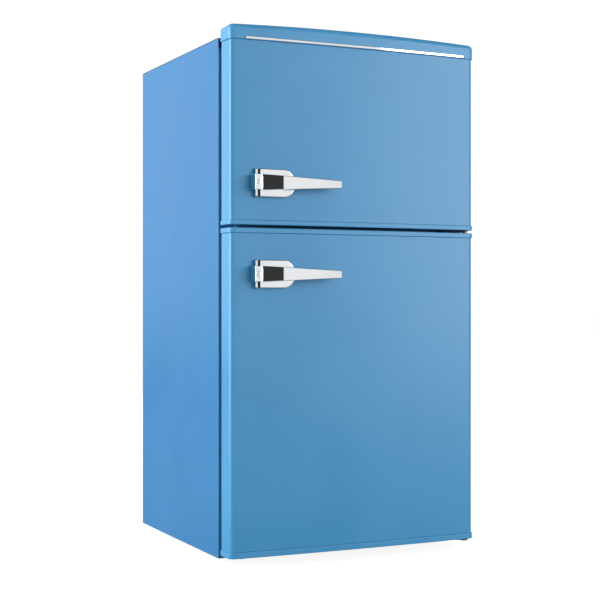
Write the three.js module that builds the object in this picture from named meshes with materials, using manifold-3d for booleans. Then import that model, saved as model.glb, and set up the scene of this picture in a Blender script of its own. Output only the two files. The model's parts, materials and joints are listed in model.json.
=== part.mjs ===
// A compact retro refrigerator with a freezer door above a fridge door.
// Millimetres, +Z up, X across the front, -Y towards the user. Z = 0 is the floor.
import * as THREE from "three";
import { mergeVertices } from "three/addons/utils/BufferGeometryUtils.js";
import Module from "manifold-3d";

const wasm = await Module();
wasm.setup();

// ---------- Driving dimensions ----------
const CABINET_WIDTH = 444.5;
const CABINET_DEPTH = 378; // front frame to back panel
const CABINET_HEIGHT = 830; // underside to top panel
const FOOT_HEIGHT = 12;
const SHEET = 0.8; // steel panels and door skins
const BASE_SHEET = 1.2; // base plate, which carries the compressor
const PLASTIC = 1.5; // vacuum-formed liners
const GAP = 0.3; // clearance between pieces that touch
const CUT_PAST = 9; // how far a cutting block runs past what it cuts
const FRONT_FLANGE = 16; // width of the side and top panels' folded front edge
const LINER_FLANGE = 10; // width of the fridge liner's rim below its floor
const STRIP_LAP = 3.25; // how far the mullion strip reaches under each gasket

const SIDE_WALL = 34; // insulated walls, outside to inside
const TOP_WALL = 38;
const BACK_WALL = 46;
const FLOOR_WALL = 38;
const MULLION = 60; // insulated divider between the two compartments
const COIL_SPACE = 12; // air layer behind the foam, where the condenser lies
const MACHINE_MARGIN = 26; // compressor space, deeper than the compressor by this
const MACHINE_HEADROOM = 23.9; // air above the drain tray
const STEP_WALL = 31; // foam and liner round the compressor space

const DOOR_SPLIT = 539.8; // middle of the slot between the doors, above the floor
const DOOR_SLOT = 4.9; // height of that slot
const DOOR_THICKNESS = 36.5; // at its sides
const DOOR_BOW = 4.5; // how far the middle of the front stands out
const DOOR_CORNER = 8; // radius of the door's upright edges
const DOOR_LIFT = 7; // fridge door's lower edge above the cabinet's underside
const GASKET_DEPTH = 13.5; // space between door and cabinet
const GASKET_INSET = 18; // gasket's outer edge in from the door's sides
const GASKET_LIFT = 14; // gasket's outer edge in from the door's top and bottom
const GASKET_WIDTH = 12;
const TRIM_OVERHANG = 1.8; // how far caps and trims stand out past the skins
const FREEZER_SILL = 7.5; // height of the freezer door's bottom trim
const FRIDGE_HEAD = 8; // height of the fridge door's top trim
const FRIDGE_SILL = 9.5; // height of the fridge door's bottom trim
const CAP_DROP = 9.5; // cap's lower edge below the cabinet's top
const CAP_RISE = 14.5; // cap's top above the cabinet's top, at its ends
const CAP_ARCH = 4; // extra height in the middle
const CAP_END_RADIUS = 9;
const CAP_FRONT_RADIUS = 7;
const CAP_REAR_RADIUS = 8;
const STRIP_HEIGHT = 3.8; // bright strip along the cap
const STRIP_LIFT = 1.3; // its lower edge above the cap's lower edge
const STRIP_INSET_LEFT = 25;
const STRIP_INSET_RIGHT = 20;
const STRIP_THICKNESS = 1.4;
const STRIP_PROUD = 0.5;

const PIVOT_INSET = 9.5; // hinge axis in from the cabinet's side
const PIVOT_SETBACK = 12; // hinge axis behind the door's front edge
const PIN_RADIUS = 3.5;
const PIN_PLAY = 0.6; // radial space round a hinge pin
const PIN_LENGTH = 13;
const HINGE_SHEET = 2.5;
const MIDDLE_SHEET = 1.7; // the middle hinge's arm, which fits the slot between the doors
const HINGE_CLEARANCE = 1.8; // hinge arm to the door's edge
const HINGE_ARM = 12; // width of a hinge's arm at the pin
const HINGE_FLANGE = 34; // width of the part bolted to the cabinet
const HINGE_MARGIN = 1.5; // bolted part to the gaskets above and below it

const HANDLE_PLATE_WIDTH = 68.5;
const HANDLE_PLATE_HEIGHT = 44.5;
const HANDLE_PLATE_PROUD = 7;
const HANDLE_PLATE_INSET = 38.75; // left end, in from the door's left side
const HANDLE_PLATE_RADIUS = 19;
const LEVER_OVERHANG = 5.9; // how far the lever starts left of its plate
const LEVER_LENGTH = 146.7;
const LEVER_HEIGHT = 25;
const LEVER_TIP_HEIGHT = 12;
const LEVER_BLOCK = 55; // length of the thick root that stands on the plate
const LEVER_PROUD = 22; // front of the root, from the door's surface
const LEVER_TIP_PROUD = 26;
const LEVER_BAR = 9; // thickness of the bar
const FREEZER_HANDLE_RISE = 66; // handle's middle above the freezer door's lower edge
const FRIDGE_HANDLE_DROP = 72.5; // handle's middle below the fridge door's upper edge

const DYKE = 8; // thickness of the door liner's upright ribs
const DYKE_REACH = 32; // how far they stand into the compartment
const DYKE_INSET = 12; // their outer side in from the compartment's side wall
const RACK_WALL = 2;
const RACK_HEIGHT = 46;
const BOTTLE_RACK_HEIGHT = 88;
const RACK_REACH = 34; // door racks' rear face behind the cabinet's front
const CAN_RACK_RISE = 46; // can rack above the middle of the fridge door

const SHELF_GLASS = 4;
const SHELF_FRONT = 62; // front edge of the shelves behind the cabinet's front
const SHELF_CLEARANCE = 1.5; // shelf to side wall
const SHELF_BACK_GAP = 8; // air behind a shelf
const LEDGE = 5; // moulded ledge that a shelf rests on
const LEDGE_HEIGHT = 4;
const GLASS_SHELF_LEVEL = 0.52; // share of the fridge's height above the step
const FREEZER_SHELF_LEVEL = 0.48; // share of the freezer's height
const WIRE = 3.2;
const WIRE_PITCH = 27;
const CRISPER_HEIGHT = 150;
const CRISPER_WALL = 2.2;
const CRISPER_FRONT = 70;
const CRISPER_PLAY = 4; // drawer to walls and cover

const EVAPORATOR_WIDTH = 290;
const EVAPORATOR_HEIGHT = 165;
const EVAPORATOR_SHEET = 2;
const EVAPORATOR_STANDOFF = 8;
const BOSS_INSET = 20; // standoffs in from the plate's edges
const BOSS_HALF = 6;
const EVAPORATOR_DROP = 14; // plate's upper edge below the ceiling

const COMPRESSOR_RADIUS = 56;
const COMPRESSOR_STRETCH = 1.25; // longer across than it is deep
const COMPRESSOR_HEIGHT = 118;
const COMPRESSOR_X = 55;
const COMPRESSOR_SETBACK = 4; // ahead of the middle of its space
const SEAM_PROUD = 2.5; // weld flange round the compressor
const CAN_ROUND = 26; // its rounded upper edge
const MOUNT_PLATE = 3;
const MOUNT_OVERHANG = 8; // mount plate past the compressor, each end
const RELAY_SIZE = [38, 52, 62];
const RELAY_RISE = 26; // relay cover above the mount plate
const GLAND_RADIUS = 7.5;
const GLAND_BORE = 3.6;
const GLAND_LENGTH = 14;
const TRAY_SIZE = [132, 92, 20];
const TRAY_WALL = 1.8;
const DRAIN_RADIUS = 6;
const DRAIN_WALL = 1.5;
const GROMMET_HEIGHT = 12;
const GROMMET_RADIUS = 10;
const TUBE_RADIUS = 2.6;
const COIL_RUNS = 6;
const COIL_HALF_WIDTH = 180;
const COIL_BEND = 18;
const DRIER_RADIUS = 6;
const DRIER_LENGTH = 96;

const FRONT_FOOT_SIDE = 58; // foot's axis in from the side
const FRONT_FOOT_BACK = 52; // foot's axis behind the front
const REAR_FOOT_BACK = 34; // foot's axis ahead of the back
const FOOT_RADIUS = 15;
const STEM_RADIUS = 4;
const STEM_LENGTH = 24; // stem above the base plate
const PAD_HEIGHT = 6; // the foot's round pad
const HEXAGON_RADIUS = 7;

const KNOB_RADIUS = 15;
const CONTROL_WIDTH = 62;
const CONTROL_DEPTH = 92;
const CONTROL_HEIGHT = 34;
const SWITCH_NOSE = 20; // width of the control box's nose, which holds the door switch
const SWITCH_SETBACK = 14; // nose's end behind the cabinet's front
const SWITCH_HALF = [4, 3]; // half the plunger's width and height
const CONTROL_INSET = 18; // control box in from the side wall
const LAMP_DEPTH = 10;
const LAMP_MARGIN = 5;
const KNOB_DEPTH = 14;
const KNOB_GRIP = [5, 4]; // width and height of its finger bar

// ---------- Places worked out from them ----------
const halfWidth = CABINET_WIDTH / 2;
const bottom = FOOT_HEIGHT;
const top = bottom + CABINET_HEIGHT;
const inside = halfWidth - SIDE_WALL; // half the compartments' width
const panelInside = halfWidth - SHEET - GAP; // half the width between the side panels
const frameInside = halfWidth - FRONT_FLANGE - GAP;
const backInside = CABINET_DEPTH - SHEET;
const foamBack = backInside - COIL_SPACE;
const coilY = foamBack + COIL_SPACE / 2;
const insideDepth = CABINET_DEPTH - BACK_WALL;
const machineDepth = 2 * COMPRESSOR_RADIUS + MACHINE_MARGIN;
const machineFront = CABINET_DEPTH - machineDepth;
const machineFloor = bottom + BASE_SHEET;
const mountBottom = machineFloor + GROMMET_HEIGHT + 2 * GAP;
const canBottom = mountBottom + MOUNT_PLATE - 1;
const canTop = canBottom + COMPRESSOR_HEIGHT;
const machineTop = canTop + GAP + TRAY_SIZE[2] + MACHINE_HEADROOM;
const lowerDepth = machineFront - STEP_WALL; // fridge's depth ahead of the step
const stepTop = machineTop + STEP_WALL;
const fridgeFloor = bottom + FLOOR_WALL;
const fridgeCeiling = DOOR_SPLIT - MULLION / 2;
const freezerFloor = DOOR_SPLIT + MULLION / 2;
const freezerCeiling = top - TOP_WALL;

const doorBack = -GASKET_DEPTH;
const doorFront = doorBack - DOOR_THICKNESS;
const doorMiddle = doorFront - DOOR_BOW;
const fridgeDoorBottom = bottom + DOOR_LIFT;
const fridgeDoorTop = DOOR_SPLIT - DOOR_SLOT / 2;
const freezerDoorBottom = DOOR_SPLIT + DOOR_SLOT / 2;
const stripBottom = fridgeDoorTop - GASKET_LIFT - STRIP_LAP; // of the mullion strip
const stripTop = freezerDoorBottom + GASKET_LIFT + STRIP_LAP;
const capBottom = top - CAP_DROP;
const capTop = top + CAP_RISE;
const freezerSkin = [freezerDoorBottom + FREEZER_SILL + GAP, capBottom - GAP];
const fridgeSkin = [fridgeDoorBottom + FRIDGE_SILL + GAP, fridgeDoorTop - FRIDGE_HEAD - GAP];
const pivotX = halfWidth - PIVOT_INSET;
const pivotY = doorFront + PIVOT_SETBACK;
const pinHole = PIN_RADIUS + PIN_PLAY;
const frontMost = doorMiddle - LEVER_TIP_PROUD;

// ---------- Finishes ----------
const finish = (color, roughness, metalness = 0) =>
  new THREE.MeshStandardMaterial({ color, roughness, metalness });
const bluePaint = finish(0x4f93c4, 0.32);
const blueTrim = finish(0x5a9fd0, 0.38);
const chrome = finish(0xe6e8ea, 0.08, 1);
const steel = finish(0x9aa0a6, 0.42, 1);
const zincSheet = finish(0xb4b8bb, 0.5, 1);
const blackSteel = finish(0x17181a, 0.45);
const whiteLiner = finish(0xeef1f2, 0.4);
const clearPlastic = finish(0xdfe9ee, 0.15);
const glass = finish(0xcfe3e0, 0.05);
const foam = finish(0xe5d9a8, 0.95);
const navyGasket = finish(0x1e4870, 0.75);
const blackRubber = finish(0x1b1c1e, 0.85);
const darkPlastic = finish(0x25282b, 0.6);
const copper = finish(0xb3714a, 0.35, 1);
const aluminium = finish(0xc8cccf, 0.4, 1);
const wireWhite = finish(0xf1f2f2, 0.45);
const greyPlastic = finish(0xb9bec2, 0.55);

// ---------- Solid tools ----------
// A closed three.js geometry as a solid that can be joined and cut.
function solid(geometry) {
  const bare = geometry.clone();
  bare.deleteAttribute("normal");
  bare.deleteAttribute("uv");
  const merged = mergeVertices(bare, 1e-4);
  return new wasm.Manifold(
    new wasm.Mesh({
      numProp: 3,
      vertProperties: new Float32Array(merged.attributes.position.array),
      triVerts: new Uint32Array(merged.index.array),
    }),
  );
}

function geometryOf(shape) {
  const mesh = shape.getMesh();
  return new THREE.BufferGeometry()
    .setAttribute("position", new THREE.BufferAttribute(mesh.vertProperties, 3))
    .setIndex(new THREE.BufferAttribute(mesh.triVerts, 1));
}

const joined = (first, ...rest) => rest.reduce((all, next) => all.add(next), first);
const cut = (first, ...rest) => rest.reduce((left, next) => left.subtract(next), first);

function block([x0, x1], [y0, y1], [z0, z1]) {
  const box = new THREE.BoxGeometry(x1 - x0, y1 - y0, z1 - z0);
  return solid(box.translate((x0 + x1) / 2, (y0 + y1) / 2, (z0 + z1) / 2));
}

function uprightCylinder(x, y, radius, [z0, z1], sides = 20) {
  const tube = new THREE.CylinderGeometry(radius, radius, z1 - z0, sides);
  return solid(tube.rotateX(Math.PI / 2).translate(x, y, (z0 + z1) / 2));
}

function outline(points) {
  return new THREE.Shape(points.map(([u, v]) => new THREE.Vector2(u, v)));
}

function prism(shape, length, curveSegments, u, v, w) {
  const flat = { depth: length, bevelEnabled: false, curveSegments };
  const turn = new THREE.Matrix4().makeBasis(u, v, w);
  return new THREE.ExtrudeGeometry(shape, flat).applyMatrix4(turn);
}

const X = new THREE.Vector3(1, 0, 0);
const Y = new THREE.Vector3(0, 1, 0);
const Z = new THREE.Vector3(0, 0, 1);

// A plan outline in X and Y, drawn upwards.
const alongZ = (shape, [z0, z1], curveSegments = 3) =>
  solid(prism(shape, z1 - z0, curveSegments, X, Y, Z).translate(0, 0, z0));

// A front outline in X and Z, drawn from front to back.
const alongY = (shape, [y0, y1], curveSegments = 4) =>
  solid(prism(shape, y1 - y0, curveSegments, X, Z, Y.clone().negate()).translate(0, y1, 0));

// A side outline in Y and Z, drawn across.
const alongX = (shape, [x0, x1], curveSegments = 3) =>
  solid(prism(shape, x1 - x0, curveSegments, Y, Z, X).translate(x0, 0, 0));

const parts = new THREE.Group();

function add(name, material, shape) {
  const mesh = new THREE.Mesh(geometryOf(shape), material);
  mesh.name = name;
  parts.add(mesh);
}

const both = (half) => [-half, half];

// ---------- Cabinet shell ----------
for (const [name, side] of [
  ["left_side_panel", -1],
  ["right_side_panel", 1],
]) {
  const across = (near, far) => [side * near, side * far].sort((a, b) => a - b);
  const wall = block(
    across(halfWidth - SHEET, halfWidth),
    [0, CABINET_DEPTH],
    [bottom, top - SHEET - GAP],
  );
  const flange = block(
    across(halfWidth - FRONT_FLANGE, halfWidth),
    [0, SHEET],
    [bottom, top - SHEET - GAP],
  );
  add(name, bluePaint, joined(wall, flange));
}

const topSheet = block(both(halfWidth), [0, CABINET_DEPTH], [top - SHEET, top]);
const topFlange = block(both(frameInside), [0, SHEET], [top - FRONT_FLANGE, top]);
add("top_panel", bluePaint, joined(topSheet, topFlange));

const backBottom = machineTop - FRONT_FLANGE;
add(
  "back_panel",
  zincSheet,
  block(both(panelInside), [backInside, CABINET_DEPTH], [backBottom, top - SHEET - GAP]),
);

const frontFeet = [
  ["front_foot_left", FRONT_FOOT_SIDE - halfWidth],
  ["front_foot_right", halfWidth - FRONT_FOOT_SIDE],
];
const sillTop = fridgeFloor - LINER_FLANGE - GAP;
const basePan = block(both(panelInside), [SHEET + GAP, CABINET_DEPTH], [bottom, machineFloor]);
const baseUpstand = block(both(frameInside), [0, BASE_SHEET], [bottom, sillTop]);
const stemHoles = frontFeet.map(([, x]) =>
  uprightCylinder(x, FRONT_FOOT_BACK, STEM_RADIUS + GAP, [bottom - 1, machineFloor + STEM_LENGTH + 2]),
);
add("base_plate", zincSheet, cut(joined(basePan, baseUpstand), ...stemHoles));

const roofBack = foamBack - GAP;
const machineWall = block(
  both(panelInside),
  [machineFront, machineFront + SHEET],
  [machineFloor + GAP, machineTop],
);
const machineRoof = block(
  both(panelInside),
  [machineFront, roofBack],
  [machineTop - SHEET, machineTop],
);
const drainX = COMPRESSOR_X;
const drainY = machineFront + machineDepth * 0.6;
const suctionX = COMPRESSOR_X - COMPRESSOR_RADIUS * COMPRESSOR_STRETCH - 60;
const suctionY = machineFront + machineDepth * 0.28;
const drainHole = (zRange) => uprightCylinder(drainX, drainY, DRAIN_RADIUS + GAP, zRange, 16);
const suctionHole = (zRange) =>
  uprightCylinder(suctionX, suctionY, TUBE_RADIUS + 2 * GAP, zRange, 12);
add(
  "machine_room_panel",
  zincSheet,
  cut(
    joined(machineWall, machineRoof),
    drainHole([machineTop - 5, machineTop + 5]),
    suctionHole([machineTop - 5, machineTop + 5]),
  ),
);

// ---------- Liners and insulation ----------
// The fridge compartment seen from the side: its floor steps up over the compressor.
function fridgeProfile(grow, front) {
  return outline([
    [front, fridgeFloor - grow],
    [lowerDepth + grow, fridgeFloor - grow],
    [lowerDepth + grow, stepTop - grow],
    [insideDepth + grow, stepTop - grow],
    [insideDepth + grow, fridgeCeiling + grow],
    [front, fridgeCeiling + grow],
  ]);
}
const freezerBox = (grow, front) =>
  block(
    both(inside + grow),
    [front, insideDepth + grow],
    [freezerFloor - grow, freezerCeiling + grow],
  );
const fridgeBox = (grow, front) => alongX(fridgeProfile(grow, front), both(inside + grow));

function ledges(level, [y0, y1]) {
  return [-1, 1].map((side) =>
    block(
      [side * (inside - LEDGE), side * (inside + PLASTIC / 2)].sort((a, b) => a - b),
      [y0, y1],
      [level - LEDGE_HEIGHT, level],
    ),
  );
}

const freezerShelfZ = freezerFloor + (freezerCeiling - freezerFloor) * FREEZER_SHELF_LEVEL;
const glassShelfZ = stepTop + (fridgeCeiling - stepTop) * GLASS_SHELF_LEVEL;
const crisperTop = fridgeFloor + CRISPER_HEIGHT;
const crisperCoverZ = crisperTop + CRISPER_PLAY + LEDGE_HEIGHT;
const ledgeBack = insideDepth + PLASTIC / 2;

add(
  "freezer_liner",
  whiteLiner,
  joined(
    cut(
      joined(
        freezerBox(PLASTIC, 0),
        block(both(frameInside), [0, PLASTIC], [stripTop + GAP, top - FRONT_FLANGE - GAP]),
      ),
      freezerBox(0, -1),
    ),
    ...ledges(freezerShelfZ, [SHELF_FRONT, ledgeBack]),
  ),
);

add(
  "fridge_liner",
  whiteLiner,
  cut(
    joined(
      cut(
        joined(
          fridgeBox(PLASTIC, 0),
          block(
            both(frameInside),
            [0, PLASTIC],
            [fridgeFloor - LINER_FLANGE, stripBottom - GAP],
          ),
        ),
        fridgeBox(0, -1),
      ),
      ...ledges(glassShelfZ, [SHELF_FRONT, ledgeBack]),
      ...ledges(crisperCoverZ, [SHELF_FRONT, lowerDepth + PLASTIC / 2]),
    ),
    drainHole([stepTop - 2 * PLASTIC, stepTop + 1]),
  ),
);

const foamBlock = block(
  both(panelInside),
  [PLASTIC + GAP, foamBack],
  [machineFloor + GAP, top - SHEET - GAP],
);
add(
  "insulation_foam",
  foam,
  cut(
    foamBlock,
    freezerBox(PLASTIC + GAP, 0),
    fridgeBox(PLASTIC + GAP, 0),
    block(
      both(halfWidth),
      [machineFront - GAP, CABINET_DEPTH],
      [0, machineTop + GAP],
    ),
    ...stemHoles,
    drainHole([machineTop - 1, stepTop + 1]),
    suctionHole([machineTop - 1, machineTop + 20]),
  ),
);

add("mullion_strip", bluePaint, block(both(frameInside), [0, SHEET], [stripBottom, stripTop]));

// ---------- Hinges ----------
// The arm of a hinge in plan: a tapered plate that ends round at the pin.
const armTaper = doorBack - 4; // where an arm begins to narrow
function hingeArm(backEdge, [z0, z1]) {
  const half = HINGE_ARM / 2;
  const flangeLeft = pivotX + half - HINGE_FLANGE;
  const plate = outline([
    [pivotX + half, backEdge],
    [flangeLeft, backEdge],
    [flangeLeft, armTaper],
    [pivotX - half, pivotY],
    [pivotX + half, pivotY],
  ]);
  return joined(alongZ(plate, [z0, z1]), uprightCylinder(pivotX, pivotY, half, [z0, z1], 24));
}
const hingeFlangeX = [pivotX + HINGE_ARM / 2 - HINGE_FLANGE, pivotX + HINGE_ARM / 2];
const flangeY = [-HINGE_SHEET - GAP, -GAP];
const pin = (zRange) => uprightCylinder(pivotX, pivotY, PIN_RADIUS, zRange, 16);

const topArm = [top + GAP, top + GAP + HINGE_SHEET];
const capStep = topArm[0] - 2; // where the cap is cut down to let the top hinge in
const topHingeBack = 46; // rear edge of the top hinge's plate
add(
  "top_hinge",
  steel,
  joined(hingeArm(topHingeBack, topArm), pin([capStep - PIN_LENGTH, topArm[0] + 1])),
);

const armMiddle = DOOR_SPLIT + 0.65; // level of the arm, a little nearer the freezer door
const middleArm = [armMiddle - MIDDLE_SHEET / 2, armMiddle + MIDDLE_SHEET / 2];
add(
  "middle_hinge",
  steel,
  joined(
    hingeArm(-GAP, middleArm),
    block(hingeFlangeX, flangeY, [
      fridgeDoorTop - GASKET_LIFT + HINGE_MARGIN,
      freezerDoorBottom + GASKET_LIFT - HINGE_MARGIN,
    ]),
    pin([fridgeDoorTop - PIN_LENGTH, freezerDoorBottom + PIN_LENGTH]),
  ),
);

const lowerFlangeTop = bottom + 18;
const lowerArm = [fridgeDoorBottom - HINGE_CLEARANCE - HINGE_SHEET, fridgeDoorBottom - HINGE_CLEARANCE];
add(
  "lower_hinge",
  steel,
  joined(
    hingeArm(-GAP, lowerArm),
    block(hingeFlangeX, flangeY, [lowerArm[0], lowerFlangeTop]),
    pin([lowerArm[1] - 1, fridgeDoorBottom + PIN_LENGTH]),
  ),
);

const coverBottom = topArm[1] + GAP;
const coverWall = 1.6;
const coverX = [hingeFlangeX[0] - 4, hingeFlangeX[1]]; // wider than the hinge on its left
const coverY = [pivotY - HINGE_ARM / 2 + 1, topHingeBack + 5];
const coverTop = capTop - 3; // just below the top of the cap
add(
  "top_hinge_cover",
  blueTrim,
  cut(
    block(coverX, coverY, [coverBottom, coverTop]),
    block(
      [coverX[0] + coverWall, coverX[1] - coverWall],
      [coverY[0] + coverWall, coverY[1] - coverWall],
      [coverBottom - 1, coverTop - coverWall],
    ),
  ),
);

// ---------- Doors ----------
// A door in plan, drawn smaller all round by the inset: a flat back, two round
// upright edges and a front bowed outwards.
function doorPlan(inset, backY) {
  const half = halfWidth - inset;
  const front = doorFront + inset;
  const radius = DOOR_CORNER - inset;
  const chord = half - radius;
  const bowRadius = (chord * chord + DOOR_BOW * DOOR_BOW) / (2 * DOOR_BOW);
  const swing = Math.asin(chord / bowRadius);
  const plan = new THREE.Shape();
  plan.moveTo(half, backY);
  plan.lineTo(-half, backY);
  plan.absarc(-half + radius, front + radius, radius, Math.PI, 1.5 * Math.PI, false);
  plan.absarc(
    0,
    front - DOOR_BOW + bowRadius,
    bowRadius,
    1.5 * Math.PI - swing,
    1.5 * Math.PI + swing,
    false,
  );
  plan.absarc(half - radius, front + radius, radius, 1.5 * Math.PI, 2 * Math.PI, false);
  return plan;
}
const doorBlock = (inset, backY, zRange) => alongZ(doorPlan(inset, backY), zRange, 4);

// How far the door's front stands at a place across it.
function frontAt(x) {
  const chord = halfWidth - DOOR_CORNER;
  const bowRadius = (chord * chord + DOOR_BOW * DOOR_BOW) / (2 * DOOR_BOW);
  return doorMiddle + bowRadius - Math.sqrt(bowRadius * bowRadius - x * x);
}

function doorSkin(zRange) {
  return cut(
    doorBlock(0, doorBack, zRange),
    doorBlock(SHEET, doorBack + 1, [zRange[0] - 1, zRange[1] + 1]),
  );
}

const linerFront = doorBack - PLASTIC;
const linerInset = SHEET + GAP;
const foamInDoor = (zRange) => doorBlock(linerInset, linerFront - GAP, zRange);

// The door's inner panel with two upright ribs and a ledge above and below.
function doorLiner([z0, z1], [ribBottom, ribTop]) {
  const ribOuter = inside - DYKE_INSET;
  const ribBack = DYKE_REACH;
  const sheet = block(both(halfWidth - linerInset), [linerFront, doorBack], [z0, z1]);
  const ribs = [-1, 1].map((side) =>
    block(
      [side * (ribOuter - DYKE), side * ribOuter].sort((a, b) => a - b),
      [linerFront, ribBack],
      [ribBottom, ribTop],
    ),
  );
  const rims = [
    block(both(ribOuter), [linerFront, 0], [ribBottom, ribBottom + DYKE]),
    block(both(ribOuter), [linerFront, 0], [ribTop - DYKE, ribTop]),
  ];
  return joined(sheet, ...ribs, ...rims);
}

function doorGasket([z0, z1]) {
  const outer = halfWidth - GASKET_INSET;
  const depth = [doorBack + GAP, -GAP];
  return cut(
    block(both(outer), depth, [z0 + GASKET_LIFT, z1 - GASKET_LIFT]),
    block(
      both(outer - GASKET_WIDTH),
      [depth[0] - 1, depth[1] + 1],
      [z0 + GASKET_LIFT + GASKET_WIDTH, z1 - GASKET_LIFT - GASKET_WIDTH],
    ),
  );
}

// An open tray between the ribs of a door.
function doorRack(floor, height) {
  const half = inside - DYKE_INSET - DYKE - GAP;
  const front = doorBack + GAP;
  return cut(
    block(both(half), [front, RACK_REACH], [floor, floor + height]),
    block(
      both(half - RACK_WALL),
      [front + RACK_WALL, RACK_REACH - RACK_WALL],
      [floor + RACK_WALL, floor + height + 1],
    ),
  );
}

// The base plate of a handle: square on the left, strongly rounded on the right.
const plateLeft = HANDLE_PLATE_INSET - halfWidth;
const plateRight = plateLeft + HANDLE_PLATE_WIDTH;
const plateFront = frontAt((plateLeft + plateRight) / 2) - HANDLE_PLATE_PROUD;
function handlePlate(middle) {
  const half = HANDLE_PLATE_HEIGHT / 2;
  const radius = HANDLE_PLATE_RADIUS;
  const face = new THREE.Shape();
  face.moveTo(plateLeft, middle - half);
  face.absarc(plateRight - radius, middle - half + radius, radius, 1.5 * Math.PI, 2 * Math.PI, false);
  face.absarc(plateRight - radius, middle + half - radius, radius, 0, 0.5 * Math.PI, false);
  face.lineTo(plateLeft, middle + half);
  const proud = alongY(face, [plateFront, doorBack]);
  return cut(proud, doorBlock(-GAP, doorBack + 1, [middle - half - 1, middle + half + 1]));
}

const leverLeft = plateLeft - LEVER_OVERHANG;
const leverRight = leverLeft + LEVER_LENGTH;
const leverRoot = leverLeft + LEVER_BLOCK;
function handleLever(middle) {
  const front = frontAt(leverRoot);
  const tipFront = frontAt(leverRight) - LEVER_TIP_PROUD;
  const heel = frontAt(leverLeft) - 2 * GAP;
  const plan = outline([
    [plateLeft - GAP, plateFront - GAP],
    [plateLeft - GAP, heel],
    [leverLeft, heel],
    [leverLeft, front - LEVER_PROUD + 4],
    [leverLeft + 4, front - LEVER_PROUD],
    [leverRoot, front - LEVER_PROUD],
    [leverRight, tipFront],
    [leverRight, tipFront + LEVER_BAR],
    [leverRoot + 8, front - LEVER_PROUD + LEVER_BAR],
    [leverRoot, plateFront - GAP],
  ]);
  const half = LEVER_HEIGHT / 2;
  const tipHalf = LEVER_TIP_HEIGHT / 2;
  const face = outline([
    [leverLeft, middle - half],
    [leverRoot, middle - half + 1],
    [leverRight, middle - tipHalf],
    [leverRight, middle + tipHalf],
    [leverRoot, middle + half - 1],
    [leverLeft, middle + half],
  ]);
  return alongZ(plan, [middle - half, middle + half]).intersect(
    alongY(face, [frontMost - 1, doorBack]),
  );
}

// Freezer door
const pinRoom = (zRange) => uprightCylinder(pivotX, pivotY, pinHole, zRange, 16);
const sillHole = [freezerDoorBottom - 1, freezerDoorBottom + PIN_LENGTH + 1];
const capHole = [capStep - PIN_LENGTH - 1, capStep + 1];

add("freezer_door_skin", bluePaint, doorSkin(freezerSkin));
add(
  "freezer_door_foam",
  foam,
  cut(foamInDoor(freezerSkin), pinRoom(sillHole), pinRoom(capHole)),
);
add(
  "freezer_door_sill",
  blueTrim,
  cut(
    doorBlock(-TRIM_OVERHANG, doorBack, [freezerDoorBottom, freezerDoorBottom + FREEZER_SILL]),
    pinRoom(sillHole),
  ),
);

// The cap is arched along its top, rounded at its ends and rolled over at its
// front and rear edges. Its rear right corner is cut down for the top hinge.
function capFace() {
  const half = halfWidth + TRIM_OVERHANG;
  const chord = half - CAP_END_RADIUS;
  const archRadius = (chord * chord + CAP_ARCH * CAP_ARCH) / (2 * CAP_ARCH);
  const swing = Math.asin(chord / archRadius);
  const low = capBottom - 1;
  const face = new THREE.Shape();
  face.moveTo(-half, low);
  face.lineTo(half, low);
  face.absarc(chord, capTop - CAP_END_RADIUS, CAP_END_RADIUS, 0, 0.5 * Math.PI, false);
  face.absarc(
    0,
    capTop + CAP_ARCH - archRadius,
    archRadius,
    0.5 * Math.PI - swing,
    0.5 * Math.PI + swing,
    false,
  );
  face.absarc(-chord, capTop - CAP_END_RADIUS, CAP_END_RADIUS, 0.5 * Math.PI, Math.PI, false);
  return face;
}

// The rolled front edge follows the arch and the bow, so it is cut in short lengths.
function capRoll(radius, edgeAt, direction) {
  const steps = 12; // lengths that the arch is divided into
  const beyond = 3; // how far the cut reaches past the cap's skin
  const lap = 0.01; // by which neighbouring lengths overlap
  const half = halfWidth + TRIM_OVERHANG;
  const chord = half - CAP_END_RADIUS;
  const archRadius = (chord * chord + CAP_ARCH * CAP_ARCH) / (2 * CAP_ARCH);
  const topAt = (x) =>
    capTop + CAP_ARCH - archRadius + Math.sqrt(archRadius * archRadius - x * x);
  const lengths = [];
  for (let i = 0; i < steps; i++) {
    const x0 = -half + (2 * half * i) / steps;
    const x1 = -half + (2 * half * (i + 1)) / steps;
    const middle = (x0 + x1) / 2;
    const y = edgeAt(middle);
    const z = topAt(middle);
    const corner = new THREE.Shape();
    corner.moveTo(y - direction * beyond, z + beyond);
    corner.lineTo(y - direction * beyond, z - radius);
    corner.lineTo(y, z - radius);
    corner.absarc(
      y + direction * radius,
      z - radius,
      radius,
      direction > 0 ? Math.PI : 0,
      0.5 * Math.PI,
      direction > 0,
    );
    corner.lineTo(y + direction * radius, z + beyond);
    lengths.push(alongX(corner, [x0 - lap, x1 + lap], 2));
  }
  return joined(...lengths);
}

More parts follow.
